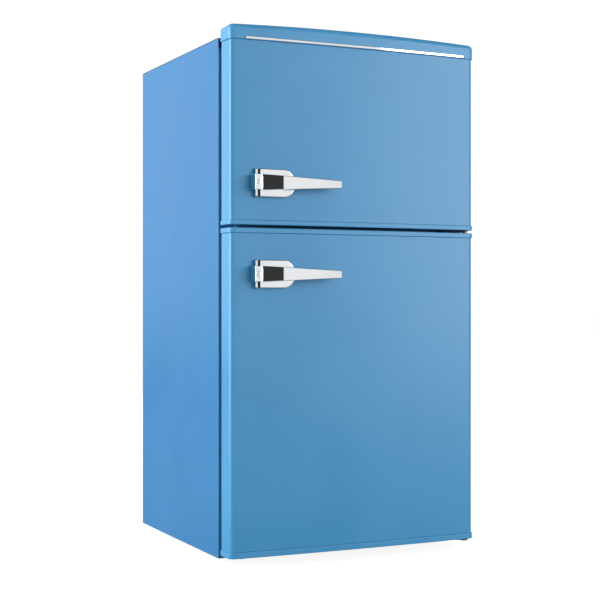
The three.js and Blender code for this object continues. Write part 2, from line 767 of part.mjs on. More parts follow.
const stripZ = [capBottom + STRIP_LIFT, capBottom + STRIP_LIFT + STRIP_HEIGHT];
const stripX = [STRIP_INSET_LEFT - halfWidth, halfWidth - STRIP_INSET_RIGHT];
const stripOut = TRIM_OVERHANG + STRIP_PROUD;
const stripIn = TRIM_OVERHANG + STRIP_PROUD - STRIP_THICKNESS;
const stripY = [doorMiddle - CUT_PAST, doorFront + CUT_PAST];
const behindStrip = [stripZ[0] - 2 * GAP, stripZ[1] + 2 * GAP];
const stripGroove = cut(
  alongZ(doorPlan(-stripOut - CUT_PAST, doorBack), [stripZ[0] - GAP, stripZ[1] + GAP], 4),
  alongZ(doorPlan(-stripIn + GAP, doorBack + 1), behindStrip, 4),
).intersect(block([stripX[0] - GAP, stripX[1] + GAP], stripY, [0, capTop]));
const notchSide = 3; // room left of the hinge cover
const notchFront = 2.5; // room in front of the hinge arm
const hingeNotch = block(
  [coverX[0] - notchSide, halfWidth + CUT_PAST],
  [pivotY - HINGE_ARM / 2 - notchFront, doorBack + CUT_PAST],
  [capStep, capTop + CUT_PAST],
);
add(
  "freezer_door_cap",
  blueTrim,
  cut(
    doorBlock(-TRIM_OVERHANG, doorBack, [capBottom, capTop + CAP_ARCH + 1]).intersect(
      alongY(capFace(), [doorMiddle - CUT_PAST, 0], 5),
    ),
    capRoll(CAP_FRONT_RADIUS, (x) => frontAt(x) - TRIM_OVERHANG, 1),
    capRoll(CAP_REAR_RADIUS, () => doorBack, -1),
    stripGroove,
    hingeNotch,
    pinRoom(capHole),
  ),
);
add(
  "freezer_cap_strip",
  chrome,
  cut(
    alongZ(doorPlan(-stripOut, doorBack), stripZ, 4),
    alongZ(doorPlan(-stripIn, doorBack + 1), behindStrip, 4),
  ).intersect(block(stripX, stripY, [0, capTop])),
);

const freezerRibs = [freezerFloor + DYKE_INSET, freezerCeiling - DYKE_INSET];
add("freezer_door_liner", whiteLiner, doorLiner(freezerSkin, freezerRibs));
add("freezer_door_gasket", navyGasket, doorGasket([freezerDoorBottom, top]));
const freezerRackZ = freezerRibs[0] + DYKE + GAP;
add("freezer_door_rack", clearPlastic, doorRack(freezerRackZ, RACK_HEIGHT));
const freezerHandleZ = freezerDoorBottom + FREEZER_HANDLE_RISE;
add("freezer_handle_base", chrome, handlePlate(freezerHandleZ));
add("freezer_handle_lever", chrome, handleLever(freezerHandleZ));

// Fridge door
const headHole = [fridgeDoorTop - PIN_LENGTH - 1, fridgeDoorTop + 1];
const footHole = [fridgeDoorBottom - 1, fridgeDoorBottom + PIN_LENGTH + 1];
add("fridge_door_skin", bluePaint, doorSkin(fridgeSkin));
add(
  "fridge_door_foam",
  foam,
  cut(foamInDoor(fridgeSkin), pinRoom(headHole), pinRoom(footHole)),
);
add(
  "fridge_door_head",
  blueTrim,
  cut(
    doorBlock(-TRIM_OVERHANG, doorBack, [fridgeDoorTop - FRIDGE_HEAD, fridgeDoorTop]),
    pinRoom(headHole),
  ),
);
add(
  "fridge_door_sill",
  blueTrim,
  cut(
    doorBlock(-TRIM_OVERHANG, doorBack, [fridgeDoorBottom, fridgeDoorBottom + FRIDGE_SILL]),
    pinRoom(footHole),
  ),
);
const fridgeRibs = [fridgeFloor + DYKE_INSET, fridgeCeiling - DYKE_INSET];
add("fridge_door_liner", whiteLiner, doorLiner(fridgeSkin, fridgeRibs));
add("fridge_door_gasket", navyGasket, doorGasket([fridgeDoorBottom, fridgeDoorTop]));
const bottleRackZ = fridgeRibs[0] + DYKE + GAP;
const canRackZ = (fridgeRibs[0] + fridgeRibs[1]) / 2 + CAN_RACK_RISE;
add("fridge_door_bottle_rack", clearPlastic, doorRack(bottleRackZ, BOTTLE_RACK_HEIGHT));
add("fridge_door_can_rack", clearPlastic, doorRack(canRackZ, RACK_HEIGHT));
const fridgeHandleZ = fridgeDoorTop - FRIDGE_HANDLE_DROP;
add("fridge_handle_base", chrome, handlePlate(fridgeHandleZ));
add("fridge_handle_lever", chrome, handleLever(fridgeHandleZ));

// ---------- Inside the compartments ----------
// Freezer shelf: long wires on two cross bars inside a frame.
const wireHalf = inside - SHELF_CLEARANCE;
const wireBack = insideDepth - SHELF_BACK_GAP;
const wireZ = [freezerShelfZ + GAP, freezerShelfZ + GAP + WIRE];
const shelfFrame = cut(
  block(both(wireHalf), [SHELF_FRONT, wireBack], wireZ),
  block(
    both(wireHalf - 2 * WIRE),
    [SHELF_FRONT + 2 * WIRE, wireBack - 2 * WIRE],
    [wireZ[0] - 1, wireZ[1] + 1],
  ),
);
const wireCount = Math.floor((2 * wireHalf - 4 * WIRE) / WIRE_PITCH) - 1;
const wires = Array.from({ length: wireCount }, (_, i) => {
  const x = (i - (wireCount - 1) / 2) * WIRE_PITCH;
  return block(
    [x - WIRE / 2, x + WIRE / 2],
    [SHELF_FRONT + WIRE, wireBack - WIRE],
    [wireZ[0] + GAP, wireZ[1] - GAP],
  );
});
add("freezer_shelf", wireWhite, joined(shelfFrame, ...wires));

const evaporatorBack = insideDepth - EVAPORATOR_STANDOFF;
const shelfBack = evaporatorBack - EVAPORATOR_SHEET - SHELF_BACK_GAP - 2;
const glassHalf = inside - SHELF_CLEARANCE;
const onLedge = (level) => [level + GAP, level + GAP + SHELF_GLASS];
add(
  "glass_shelf",
  glass,
  block(both(glassHalf), [SHELF_FRONT, shelfBack], onLedge(glassShelfZ)),
);
add(
  "crisper_cover",
  glass,
  block(both(glassHalf), [SHELF_FRONT, lowerDepth - SHELF_CLEARANCE], onLedge(crisperCoverZ)),
);

const crisperHalf = inside - LEDGE - CRISPER_PLAY;
const crisperZ = [fridgeFloor + 1, crisperTop];
const crisperBack = lowerDepth - CRISPER_PLAY;
add(
  "crisper_drawer",
  clearPlastic,
  cut(
    block(both(crisperHalf), [CRISPER_FRONT, crisperBack], crisperZ),
    block(
      both(crisperHalf - CRISPER_WALL),
      [CRISPER_FRONT + CRISPER_WALL, crisperBack - CRISPER_WALL],
      [crisperZ[0] + CRISPER_WALL, crisperTop + 1],
    ),
  ),
);

const evaporatorTop = fridgeCeiling - EVAPORATOR_DROP;
const evaporatorZ = [evaporatorTop - EVAPORATOR_HEIGHT, evaporatorTop];
const bossZ = [evaporatorZ[0] + BOSS_INSET, evaporatorZ[1] - BOSS_INSET];
const bosses = [-1, 1].flatMap((side) =>
  bossZ.map((z) => {
    const x = side * (EVAPORATOR_WIDTH / 2 - BOSS_INSET);
    return block(
      [x - BOSS_HALF, x + BOSS_HALF],
      [evaporatorBack - 1, insideDepth - GAP],
      [z - BOSS_HALF, z + BOSS_HALF],
    );
  }),
);
add(
  "evaporator_plate",
  aluminium,
  joined(
    block(
      both(EVAPORATOR_WIDTH / 2),
      [evaporatorBack - EVAPORATOR_SHEET, evaporatorBack],
      evaporatorZ,
    ),
    ...bosses,
  ),
);

// Control box under the ceiling on the right, with the knob on its front.
const controlX = [inside - CONTROL_INSET - CONTROL_WIDTH, inside - CONTROL_INSET];
const controlY = [SHELF_FRONT, SHELF_FRONT + CONTROL_DEPTH];
const controlZ = [fridgeCeiling - GAP - CONTROL_HEIGHT, fridgeCeiling - GAP];
const noseX = [controlX[0], controlX[0] + SWITCH_NOSE];
const noseFront = SWITCH_SETBACK;
const switchX = (noseX[0] + noseX[1]) / 2;
const switchZ = fridgeRibs[1] - DYKE / 2;
const switchY = [2 * GAP, noseFront + 14];
const switchShape = (grow, yRange) =>
  block(
    [switchX - SWITCH_HALF[0] - grow, switchX + SWITCH_HALF[0] + grow],
    yRange,
    [switchZ - SWITCH_HALF[1] - grow, switchZ + SWITCH_HALF[1] + grow],
  );
const lensY = [controlY[0] + 30, controlY[1] - 8];
add(
  "thermostat_housing",
  whiteLiner,
  cut(
    joined(
      block(controlX, controlY, controlZ),
      block(noseX, [noseFront, controlY[0] + 1], [controlZ[0] + 8, controlZ[1]]),
    ),
    switchShape(GAP, [noseFront - 1, switchY[1] + GAP]),
    block(
      [controlX[0] - 1, controlX[0] + LAMP_DEPTH],
      lensY,
      [controlZ[0] + LAMP_MARGIN, controlZ[1] - LAMP_MARGIN],
    ),
  ),
);
add(
  "lamp_lens",
  clearPlastic,
  block(
    [controlX[0] - 4, controlX[0] + LAMP_DEPTH - GAP],
    [lensY[0] + GAP, lensY[1] - GAP],
    [controlZ[0] + LAMP_MARGIN + GAP, controlZ[1] - LAMP_MARGIN - GAP],
  ),
);
const knobX = (noseX[1] + controlX[1]) / 2;
const knobZ = (controlZ[0] + controlZ[1]) / 2;
const knobFront = controlY[0] - GAP - KNOB_DEPTH;
const knobDisc = solid(
  new THREE.CylinderGeometry(KNOB_RADIUS, KNOB_RADIUS * 0.9, KNOB_DEPTH, 24).translate(
    knobX,
    knobFront + KNOB_DEPTH / 2,
    knobZ,
  ),
);
const knobGrip = block(
  [knobX - KNOB_GRIP[0] / 2, knobX + KNOB_GRIP[0] / 2],
  [knobFront - KNOB_GRIP[1], knobFront + 1],
  [knobZ - KNOB_RADIUS * 0.8, knobZ + KNOB_RADIUS * 0.8],
);
add("thermostat_knob", greyPlastic, joined(knobDisc, knobGrip));

// Door switch: a plunger in the box's nose that the closed door's ledge holds in.
add("door_switch_button", greyPlastic, switchShape(0, switchY));

// ---------- Compressor space ----------
const compressorY = machineFront + SHEET + (machineDepth - SHEET) / 2 - COMPRESSOR_SETBACK;
const seamZ = canBottom + COMPRESSOR_HEIGHT * 0.52;
const seamHalf = 3;
const lidRadius = COMPRESSOR_RADIUS - 1;
const canPoints = [
  [0, canBottom],
  [COMPRESSOR_RADIUS - 10, canBottom],
  [COMPRESSOR_RADIUS, canBottom + 12],
  [COMPRESSOR_RADIUS, seamZ - seamHalf],
  [COMPRESSOR_RADIUS + SEAM_PROUD, seamZ - seamHalf],
  [COMPRESSOR_RADIUS + SEAM_PROUD, seamZ + seamHalf],
  [lidRadius, seamZ + seamHalf],
  ...Array.from({ length: 5 }, (_, i) => [
    lidRadius - CAN_ROUND + CAN_ROUND * Math.cos((i / 8) * Math.PI),
    canTop - CAN_ROUND + CAN_ROUND * Math.sin((i / 8) * Math.PI),
  ]),
  [0, canTop],
].map(([r, z]) => new THREE.Vector2(r, z));
const can = new THREE.LatheGeometry(canPoints, 28)
  .rotateX(Math.PI / 2)
  .scale(COMPRESSOR_STRETCH, 1, 1)
  .translate(COMPRESSOR_X, compressorY, 0);
const canHalf = COMPRESSOR_RADIUS * COMPRESSOR_STRETCH;
const mountHalf = [canHalf + MOUNT_OVERHANG, COMPRESSOR_RADIUS - 4];
add(
  "compressor",
  blackSteel,
  joined(
    solid(can),
    block(
      [COMPRESSOR_X - mountHalf[0], COMPRESSOR_X + mountHalf[0]],
      [compressorY - mountHalf[1], compressorY + mountHalf[1]],
      [mountBottom, mountBottom + MOUNT_PLATE],
    ),
  ),
);
[
  [-1, -1],
  [1, -1],
  [-1, 1],
  [1, 1],
].forEach(([sx, sy], i) => {
  add(
    "compressor_grommet_" + (i + 1),
    blackRubber,
    uprightCylinder(
      COMPRESSOR_X + sx * (mountHalf[0] - GROMMET_RADIUS),
      compressorY + sy * (mountHalf[1] - GROMMET_RADIUS),
      GROMMET_RADIUS,
      [machineFloor + GAP, mountBottom - GAP],
      16,
    ),
  );
});

const relayRight = COMPRESSOR_X - canHalf - 4;
const relayX = [relayRight - RELAY_SIZE[0], relayRight];
const relayY = [compressorY - RELAY_SIZE[1] / 2, compressorY + RELAY_SIZE[1] / 2];
const relayZ = [mountBottom + RELAY_RISE, mountBottom + RELAY_RISE + RELAY_SIZE[2]];
add("relay_cover", darkPlastic, block(relayX, relayY, relayZ));
const glandX = (relayX[0] + relayX[1]) / 2;
const glandZ = relayZ[0] + 2 * GLAND_RADIUS;
const glandTube = (radius, length) =>
  solid(
    new THREE.CylinderGeometry(radius, radius, length, 16).translate(
      glandX,
      relayY[1] + GAP + length / 2,
      glandZ,
    ),
  );
add(
  "cord_gland",
  blackRubber,
  cut(glandTube(GLAND_RADIUS, GLAND_LENGTH), glandTube(GLAND_BORE, 3 * GLAND_LENGTH)),
);

// A round tube along a path made of straight lengths and bends.
function tube(path, radius, steps, sides = 8) {
  const ring = new THREE.Shape();
  ring.absarc(0, 0, radius, 0, 2 * Math.PI, false);
  return solid(
    new THREE.ExtrudeGeometry(ring, {
      steps,
      curveSegments: sides / 2,
      extrudePath: path,
      bevelEnabled: false,
    }),
  );
}
const softPath = (...points) =>
  new THREE.CatmullRomCurve3(
    points.map(([x, y, z]) => new THREE.Vector3(x, y, z)),
    false,
    "catmullrom",
    0.35,
  );

const coilBottom = machineTop - 22;
const coilLow = machineTop + 30; // lower bends
const coilTop = top - 60; // upper bends
const coilPitch = (2 * COIL_HALF_WIDTH) / (COIL_RUNS - 1);
const coil = [];
for (let run = 0; run < COIL_RUNS; run++) {
  const x = -COIL_HALF_WIDTH + run * coilPitch;
  const low = run === 0 || run === COIL_RUNS - 1 ? coilBottom : coilLow;
  coil.push(uprightCylinder(x, coilY, TUBE_RADIUS, [low, coilTop], 8));
}
for (let run = 0; run < COIL_RUNS - 1; run++) {
  const x = -COIL_HALF_WIDTH + run * coilPitch;
  const level = run % 2 === 0 ? coilTop : coilLow;
  const outwards = run % 2 === 0 ? 1 : -1;
  const bend = new THREE.CurvePath();
  const corner = (cx, cz) => new THREE.Vector3(cx, coilY, cz);
  const rise = outwards * COIL_BEND;
  bend.add(
    new THREE.QuadraticBezierCurve3(
      corner(x, level - outwards * 1),
      corner(x, level + rise),
      corner(x + COIL_BEND, level + rise),
    ),
  );
  bend.add(
    new THREE.LineCurve3(
      corner(x + COIL_BEND, level + rise),
      corner(x + coilPitch - COIL_BEND, level + rise),
    ),
  );
  bend.add(
    new THREE.QuadraticBezierCurve3(
      corner(x + coilPitch - COIL_BEND, level + rise),
      corner(x + coilPitch, level + rise),
      corner(x + coilPitch, level - outwards * 1),
    ),
  );
  coil.push(tube(bend, TUBE_RADIUS, 12));
}
add("condenser_coil", copper, joined(...coil));

const drierTop = coilBottom - GAP;
const drierPoints = [
  [0, drierTop - DRIER_LENGTH],
  [TUBE_RADIUS - 0.2, drierTop - DRIER_LENGTH],
  [TUBE_RADIUS - 0.2, drierTop - DRIER_LENGTH + 12],
  [DRIER_RADIUS, drierTop - DRIER_LENGTH + 20],
  [DRIER_RADIUS, drierTop - 18],
  [TUBE_RADIUS, drierTop - 10],
  [TUBE_RADIUS, drierTop],
  [0, drierTop],
].map(([r, z]) => new THREE.Vector2(r, z));
add(
  "filter_drier",
  copper,
  solid(
    new THREE.LatheGeometry(drierPoints, 14)
      .rotateX(Math.PI / 2)
      .translate(-COIL_HALF_WIDTH, coilY, 0),
  ),
);

const tubeStart = COMPRESSOR_X + canHalf + GAP;
add(
  "discharge_tube",
  copper,
  tube(
    softPath(
      [tubeStart, compressorY + 12, canBottom + 42],
      [tubeStart + 20, compressorY + 12, canBottom + 42],
      [COIL_HALF_WIDTH - 6, compressorY + 34, canBottom + 60],
      [COIL_HALF_WIDTH, coilY - 6, coilBottom - 34],
      [COIL_HALF_WIDTH, coilY, coilBottom - 16],
      [COIL_HALF_WIDTH, coilY, coilBottom - GAP],
    ),
    TUBE_RADIUS,
    26,
  ),
);
const suctionEnd = compressorY + 12 - COMPRESSOR_RADIUS; // beside the front of the compressor
add(
  "suction_tube",
  copper,
  tube(
    softPath(
      [suctionX, suctionY, machineTop + 18],
      [suctionX, suctionY, machineTop - 20],
      [suctionX, suctionY, canBottom + 40],
      [suctionX + 12, suctionEnd + 2, canBottom + 26],
      [relayX[0] + 6, suctionEnd, canBottom + 22],
      [COMPRESSOR_X - canHalf * 0.78, suctionEnd, canBottom + 22],
    ),
    TUBE_RADIUS,
    26,
  ),
);

const trayZ = [canTop + GAP, canTop + GAP + TRAY_SIZE[2]];
const trayBox = (grow, zRange) =>
  block(
    [drainX - TRAY_SIZE[0] / 2 - grow, drainX + TRAY_SIZE[0] / 2 + grow],
    [compressorY - TRAY_SIZE[1] / 2 - grow, compressorY + TRAY_SIZE[1] / 2 + grow],
    zRange,
  );
add(
  "drain_tray",
  greyPlastic,
  cut(trayBox(0, trayZ), trayBox(-TRAY_WALL, [trayZ[0] + TRAY_WALL, trayZ[1] + 1])),
);
const drainZ = [trayZ[1] - 8, stepTop - GAP];
add(
  "drain_tube",
  greyPlastic,
  cut(
    uprightCylinder(drainX, drainY, DRAIN_RADIUS, drainZ, 16),
    uprightCylinder(drainX, drainY, DRAIN_RADIUS - DRAIN_WALL, [drainZ[0] - 1, drainZ[1] + 1], 16),
  ),
);

// ---------- Feet ----------
for (const [name, x] of frontFeet) {
  const hexagon = uprightCylinder(
    x,
    FRONT_FOOT_BACK,
    HEXAGON_RADIUS,
    [PAD_HEIGHT - 1, bottom - 2 * GAP],
    6,
  );
  add(
    name,
    blackRubber,
    joined(
      uprightCylinder(x, FRONT_FOOT_BACK, FOOT_RADIUS, [0, PAD_HEIGHT], 24),
      hexagon,
      uprightCylinder(x, FRONT_FOOT_BACK, STEM_RADIUS, [PAD_HEIGHT - 1, machineFloor + STEM_LENGTH], 12),
    ),
  );
}
for (const [name, side] of [
  ["rear_foot_left", -1],
  ["rear_foot_right", 1],
]) {
  const x = side * (halfWidth - FRONT_FOOT_SIDE);
  add(
    name,
    blackRubber,
    uprightCylinder(x, CABINET_DEPTH - REAR_FOOT_BACK, FOOT_RADIUS, [0, bottom - GAP], 24),
  );
}

// The origin is under the middle of the whole refrigerator, handles included.
parts.position.y = -(CABINET_DEPTH + leverFront()) / 2;

function leverFront() {
  return Math.min(frontAt(leverRight) - LEVER_TIP_PROUD, frontAt(leverRoot) - LEVER_PROUD);
}

const refrigerator = new THREE.Group();
refrigerator.add(parts);
export default refrigerator;
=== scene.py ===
"""A retro top freezer refrigerator, finished round its fixed frame.

Metres, +Z up, X across the front, -Y towards the user. Each piece takes its size and
place from the frame's nodes, and its small shapes from the named values below.
"""

import json
import math

import bmesh
import bpy
from mathutils import Matrix, Vector


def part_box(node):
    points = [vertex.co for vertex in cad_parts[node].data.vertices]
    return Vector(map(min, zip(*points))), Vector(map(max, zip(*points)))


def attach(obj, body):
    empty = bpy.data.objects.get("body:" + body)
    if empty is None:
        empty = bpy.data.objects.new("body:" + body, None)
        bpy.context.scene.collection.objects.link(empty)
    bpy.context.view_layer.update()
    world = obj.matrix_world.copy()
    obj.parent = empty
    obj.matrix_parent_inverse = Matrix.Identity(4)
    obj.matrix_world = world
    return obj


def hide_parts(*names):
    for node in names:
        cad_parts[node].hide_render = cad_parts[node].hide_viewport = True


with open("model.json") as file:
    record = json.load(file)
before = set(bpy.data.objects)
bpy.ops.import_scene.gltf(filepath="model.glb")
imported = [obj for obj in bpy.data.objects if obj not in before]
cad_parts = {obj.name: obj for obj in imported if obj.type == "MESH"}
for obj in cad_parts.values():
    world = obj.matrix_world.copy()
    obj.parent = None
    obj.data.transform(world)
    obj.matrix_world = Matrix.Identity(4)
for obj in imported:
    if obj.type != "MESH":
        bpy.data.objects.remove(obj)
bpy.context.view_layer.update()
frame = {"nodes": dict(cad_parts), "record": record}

MM = 0.001
X, Y, Z = (Vector(axis) for axis in ((1, 0, 0), (0, 1, 0), (0, 0, 1)))
UPRIGHT = Matrix.Rotation(math.radians(90), 3, "X")  # stands up what lies flat, to face -Y
CREASE = 38  # degrees; edges that turn more stay sharp

# ---------- Sizes of the shapes that the frame's boxes don't give ----------
SHEET = 0.8 * MM
LINER = 1.5 * MM
DOOR_BOW = 4.5 * MM  # how far the middle of a door's front stands out
DOOR_CORNER = 8 * MM  # a door's upright front edges
TRIM_OVERHANG = 1.8 * MM
TRIM_EDGE = 1.1 * MM  # rounding of the trims' long edges
FOLD = 1.6 * MM  # rounding of folded sheet
CAP_ROLL = 7.5 * MM  # the cap's rolled upper edge
CAP_ARCH = 4 * MM
BOW_SLICES = 25  # loops across a door that let its front bow
BOW_CORNER_STEPS = 8
STRIP_DEPTH = 1.4 * MM
STRIP_EDGE = 0.4 * MM
STRIP_ROOM = 0.35 * MM  # round the strip in its groove
NOTCH_DEPTH = 4.5 * MM  # notch's floor below the top of the hinge's plate
NOTCH_SIDE = 3 * MM  # notch past the hinge's cover
NOTCH_FRONT = 3.5 * MM
SEAT = 0.3 * MM  # clearance between pieces that touch
GASKET_WIDTH = 12 * MM
GASKET_CORNER = 7 * MM

PLATE_DEPTH = 6 * MM
PLATE_CORNER = 19 * MM
PLATE_EDGE = 1.6 * MM
PLATE_SQUARE_EDGE = 0.5 * MM  # its left edge
GROOVE_INSET = 3.7 * MM
GROOVE_WIDTH = 4.6 * MM
GROOVE_DEPTH = 2.6 * MM
GROOVE_SHADE_ROOM = 0.1 * MM
LEVER_ROOT = 55 * MM  # length of the thick part that stands on the plate
LEVER_PROUD = 22 * MM
LEVER_TIP_PROUD = 26 * MM
LEVER_BAR = 9 * MM
TIP_BAR = 5 * MM
LEVER_HALF = 12.5 * MM
TIP_HALF = 6 * MM
LEVER_EDGE = 1.0 * MM
BAR_SWEEP = 7 * MM  # half the length over which the bar lifts off the plate
ROLL_RADIUS = 1.8 * MM
ROLL_END = 10 * MM
SCOOP_START = 11 * MM
SCOOP_BOTTOM = 18 * MM
SCOOP_END = 48 * MM
SCOOP_DEPTH = 4.4 * MM
SCOOP_CURVE = 1.3  # power by which the scoop falls away from the roll
TAPER_START = 0.12  # share of the lever's length that keeps its full height
LINE_PITCH = 2.4 * MM
LINE_HALF = 0.3 * MM
LINE_DEPTH = 0.9 * MM
LINE_CLEAR = 0.05 * MM

HINGE_END = 6 * MM  # radius of a hinge's round end, round its pin
HINGE_SHEET = 2.5 * MM
MIDDLE_SHEET = 1.7 * MM
PIN_RADIUS = 3.5 * MM
PIN_HOLE = 4.1 * MM
BUSH_WALL = 0.3 * MM
BUSH_LENGTH = 5 * MM
COLLAR_WIDTH = 2 * MM
COLLAR_THICKNESS = 0.6 * MM
ARM_TAPER = 17.5 * MM  # from the cabinet's front to where a hinge's arm narrows
COVER_WALL = 1.6 * MM
COVER_CORNER = 4 * MM
COVER_EDGE = 2.5 * MM

TOP_WALL = 38 * MM
DYKE = 8 * MM  # uprights of the doors' inner panels
DYKE_INSET = 12 * MM
DYKE_EDGE = 2.8 * MM
RACK_RISE = 20.3 * MM  # lowest rack above its compartment's floor
RACK_WALL = 2 * MM
RIM_DROP = 3 * MM
SHELF_CLEARANCE = 1.5 * MM
LINER_CORNER = 11 * MM
STEP_EDGE = 3 * MM
LEDGE = 5 * MM
LEDGE_HEIGHT = 4 * MM
SHELF_WIRES = 25
SHELF_BEND = 8 * MM
CHANNEL = 3 * MM  # radius of the evaporator's channel
CHANNEL_RUNS = 6
CHANNEL_BEND = 9 * MM
CHANNEL_MARGIN = 22 * MM
POST_INSET = 20 * MM  # the evaporator's four posts, from its edges
BASE_WALL = 1.2 * MM
BEADS = 5  # pressed upright beads of the back panel
BEAD_DEPTH = 2 * MM
BEAD_WIDTH = 9 * MM
BEAD_MARGIN = 60 * MM  # from the panel's side to the first bead
BEAD_END = 40 * MM  # from the panel's end to a bead
BEAD_RAMP = 6 * MM
SCREW_MARGIN = 8 * MM
TRIM_LIP = 1.4 * MM  # glass trims above their glass

KNOB_SKIRT = 2.5 * MM
KNOB_FLUTES = 30
KNOB_SETTINGS = 7
SETTING_TURN = 45  # degrees between two settings
FIRST_SETTING = 225  # degrees, counted from the right

CAN_STRETCH = 1.25  # compressor's length over its depth
CAN_SEAM = 2.5 * MM
CAN_ROUND = 30 * MM
MOUNT_PLATE = 3 * MM
TUBE = 2.6 * MM  # radius of the refrigerant tubes
CAPILLARY = 1.0 * MM
COIL_RUNS = 6
COIL_BEND = 18 * MM
THREAD_START = 10.6  # in millimetres, as the feet's profile is drawn
THREAD_PITCH = 1.3
THREAD_TURNS = 20
CAPILLARY_LOOPS = 4
LOOP_RADIUS = 15 * MM
LOOP_PITCH = 2.4 * MM

BODY_OF = {
    node: body
    for body, nodes in frame["record"]["behaviour"]["bodies"].items()
    for node in nodes
}
SLOT_OF = {part["node"]: part["material_slot"] for part in frame["record"]["subparts"]}

# ---------- Places taken from the frame's boxes ----------
DOOR_FRONT, DOOR_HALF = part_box("freezer_door_skin")[0].y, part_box("freezer_door_skin")[1].x
CABINET_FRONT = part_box("left_side_panel")[0].y
PIVOT = (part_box("top_hinge")[1].x - HINGE_END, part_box("top_hinge")[0].y + HINGE_END)
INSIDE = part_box("glass_shelf")[1].x + SHELF_CLEARANCE  # half the compartments' width
INSIDE_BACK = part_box("evaporator_plate")[1].y + SEAT
STEP_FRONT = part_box("crisper_cover")[1].y + SHELF_CLEARANCE
STEP_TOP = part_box("drain_tube")[1].z + SEAT
FREEZER_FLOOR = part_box("freezer_door_rack")[0].z - RACK_RISE
FREEZER_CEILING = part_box("top_panel")[1].z - TOP_WALL
FRIDGE_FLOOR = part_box("fridge_door_bottle_rack")[0].z - RACK_RISE
FRIDGE_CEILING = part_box("thermostat_housing")[1].z + SEAT


# ---------- Shader tools ----------
def srgb(red, green, blue):
    """A colour given in steps of 255, as the shader's linear numbers."""
    steps = (value / 255 for value in (red, green, blue))
    line = (s / 12.92 if s <= 0.04045 else ((s + 0.055) / 1.055) ** 2.4 for s in steps)
    return (*line, 1.0)


def node(tree, kind, inputs=None, **settings):
    made = tree.nodes.new("ShaderNode" + kind)
    for key, value in settings.items():
        setattr(made, key, value)
    for socket, value in (inputs or {}).items():
        if isinstance(value, bpy.types.NodeSocket):
            tree.links.new(value, made.inputs[socket])
        else:
            made.inputs[socket].default_value = value
    return made


def remap(tree, value, low, high, to_low=0.0, to_high=1.0):
    """The value stretched smoothly from one range to another."""
    steps = {"Value": value, "From Min": low, "From Max": high}
    steps |= {"To Min": to_low, "To Max": to_high}
    made = node(tree, "MapRange", steps, interpolation_type="SMOOTHSTEP")
    return made.outputs["Result"]


def times(tree, first, second, operation="MULTIPLY"):
    made = node(tree, "Math", {0: first, 1: second}, operation=operation)
    return made.outputs["Value"]


def blended(tree, share, first, second):
    made = node(tree, "Mix", data_type="RGBA")
    for socket, value in (("Factor", share), ("A", first), ("B", second)):
        target = next(s for s in made.inputs if s.name == socket and s.enabled)
        if isinstance(value, bpy.types.NodeSocket):
            tree.links.new(value, target)
        else:
            target.default_value = value
    return next(s for s in made.outputs if s.enabled)


def shader_group(name, inputs, outputs):
    """A new group with a Place input, which is where on the piece the pattern is read."""
    tree = bpy.data.node_groups.new(name, "ShaderNodeTree")
    tree.interface.new_socket("Place", in_out="INPUT", socket_type="NodeSocketVector")
    for socket, value in inputs.items():
        made = tree.interface.new_socket(socket, in_out="INPUT", socket_type="NodeSocketFloat")
        made.default_value = value
    for socket in outputs:
        tree.interface.new_socket(socket, in_out="OUTPUT", socket_type="NodeSocketFloat")
    return tree, tree.nodes.new("NodeGroupInput").outputs, tree.nodes.new("NodeGroupOutput").inputs


def grain_group():
    """Fine moulded or sprayed grain, with a slow mottle under it."""
    tree, given, out = shader_group("Fine grain", {"Scale": 900.0}, ("Height", "Mottle"))
    fine = node(tree, "TexNoise", {"Vector": given["Place"], "Scale": given["Scale"], "Detail": 3.0})
    slow = node(tree, "TexNoise", {"Vector": given["Place"], "Scale": 7.0, "Detail": 2.0})
    tree.links.new(fine.outputs["Fac"], out["Height"])
    tree.links.new(remap(tree, slow.outputs["Fac"], 0.36, 0.64), out["Mottle"])
    return tree


def wear_group():
    """Where sharp edges are rubbed: the corner finder, broken up by noise."""
    tree, given, out = shader_group("Edge wear", {"Radius": 0.001, "Scale": 300.0}, ("Mask",))
    soft = node(tree, "Bevel", {"Radius": given["Radius"]}, samples=4)
    true = node(tree, "NewGeometry")
    turn = node(tree, "VectorMath", {0: soft.outputs["Normal"], 1: true.outputs["Normal"]})
    turn.operation = "DOT_PRODUCT"
    edge = remap(tree, turn.outputs["Value"], 0.998, 0.93)
    patches = node(tree, "TexNoise", {"Vector": given["Place"], "Scale": given["Scale"], "Detail": 4.0})
    rubbed = times(tree, edge, remap(tree, patches.outputs["Fac"], 0.5, 0.66))
    tree.links.new(rubbed, out["Mask"])
    return tree


def dust_group():
    """Dust that settles on what faces up, in soft patches."""
    tree, given, out = shader_group("Settled dust", {"Scale": 60.0}, ("Mask",))
    true = node(tree, "NewGeometry")
    up = node(tree, "SeparateXYZ", {"Vector": true.outputs["Normal"]})
    flat = remap(tree, up.outputs["Z"], 0.4, 1.0)
    patches = node(tree, "TexNoise", {"Vector": given["Place"], "Scale": given["Scale"], "Detail": 6.0})
    tree.links.new(times(tree, flat, remap(tree, patches.outputs["Fac"], 0.3, 0.75)), out["Mask"])
    return tree


def streak_group():
    """Drawn or brushed metal: noise pulled long across the piece's Z."""
    tree, given, out = shader_group("Drawn streaks", {"Scale": 40.0}, ("Height", "Mask"))
    pulled = node(tree, "Mapping", {"Vector": given["Place"], "Scale": (1.0, 1.0, 36.0)})
    lines = node(tree, "TexNoise", {"Vector": pulled.outputs["Vector"], "Scale": given["Scale"]})
    lines.inputs["Detail"].default_value = 5.0
    tree.links.new(lines.outputs["Fac"], out["Height"])
    tree.links.new(remap(tree, lines.outputs["Fac"], 0.35, 0.65), out["Mask"])
    return tree


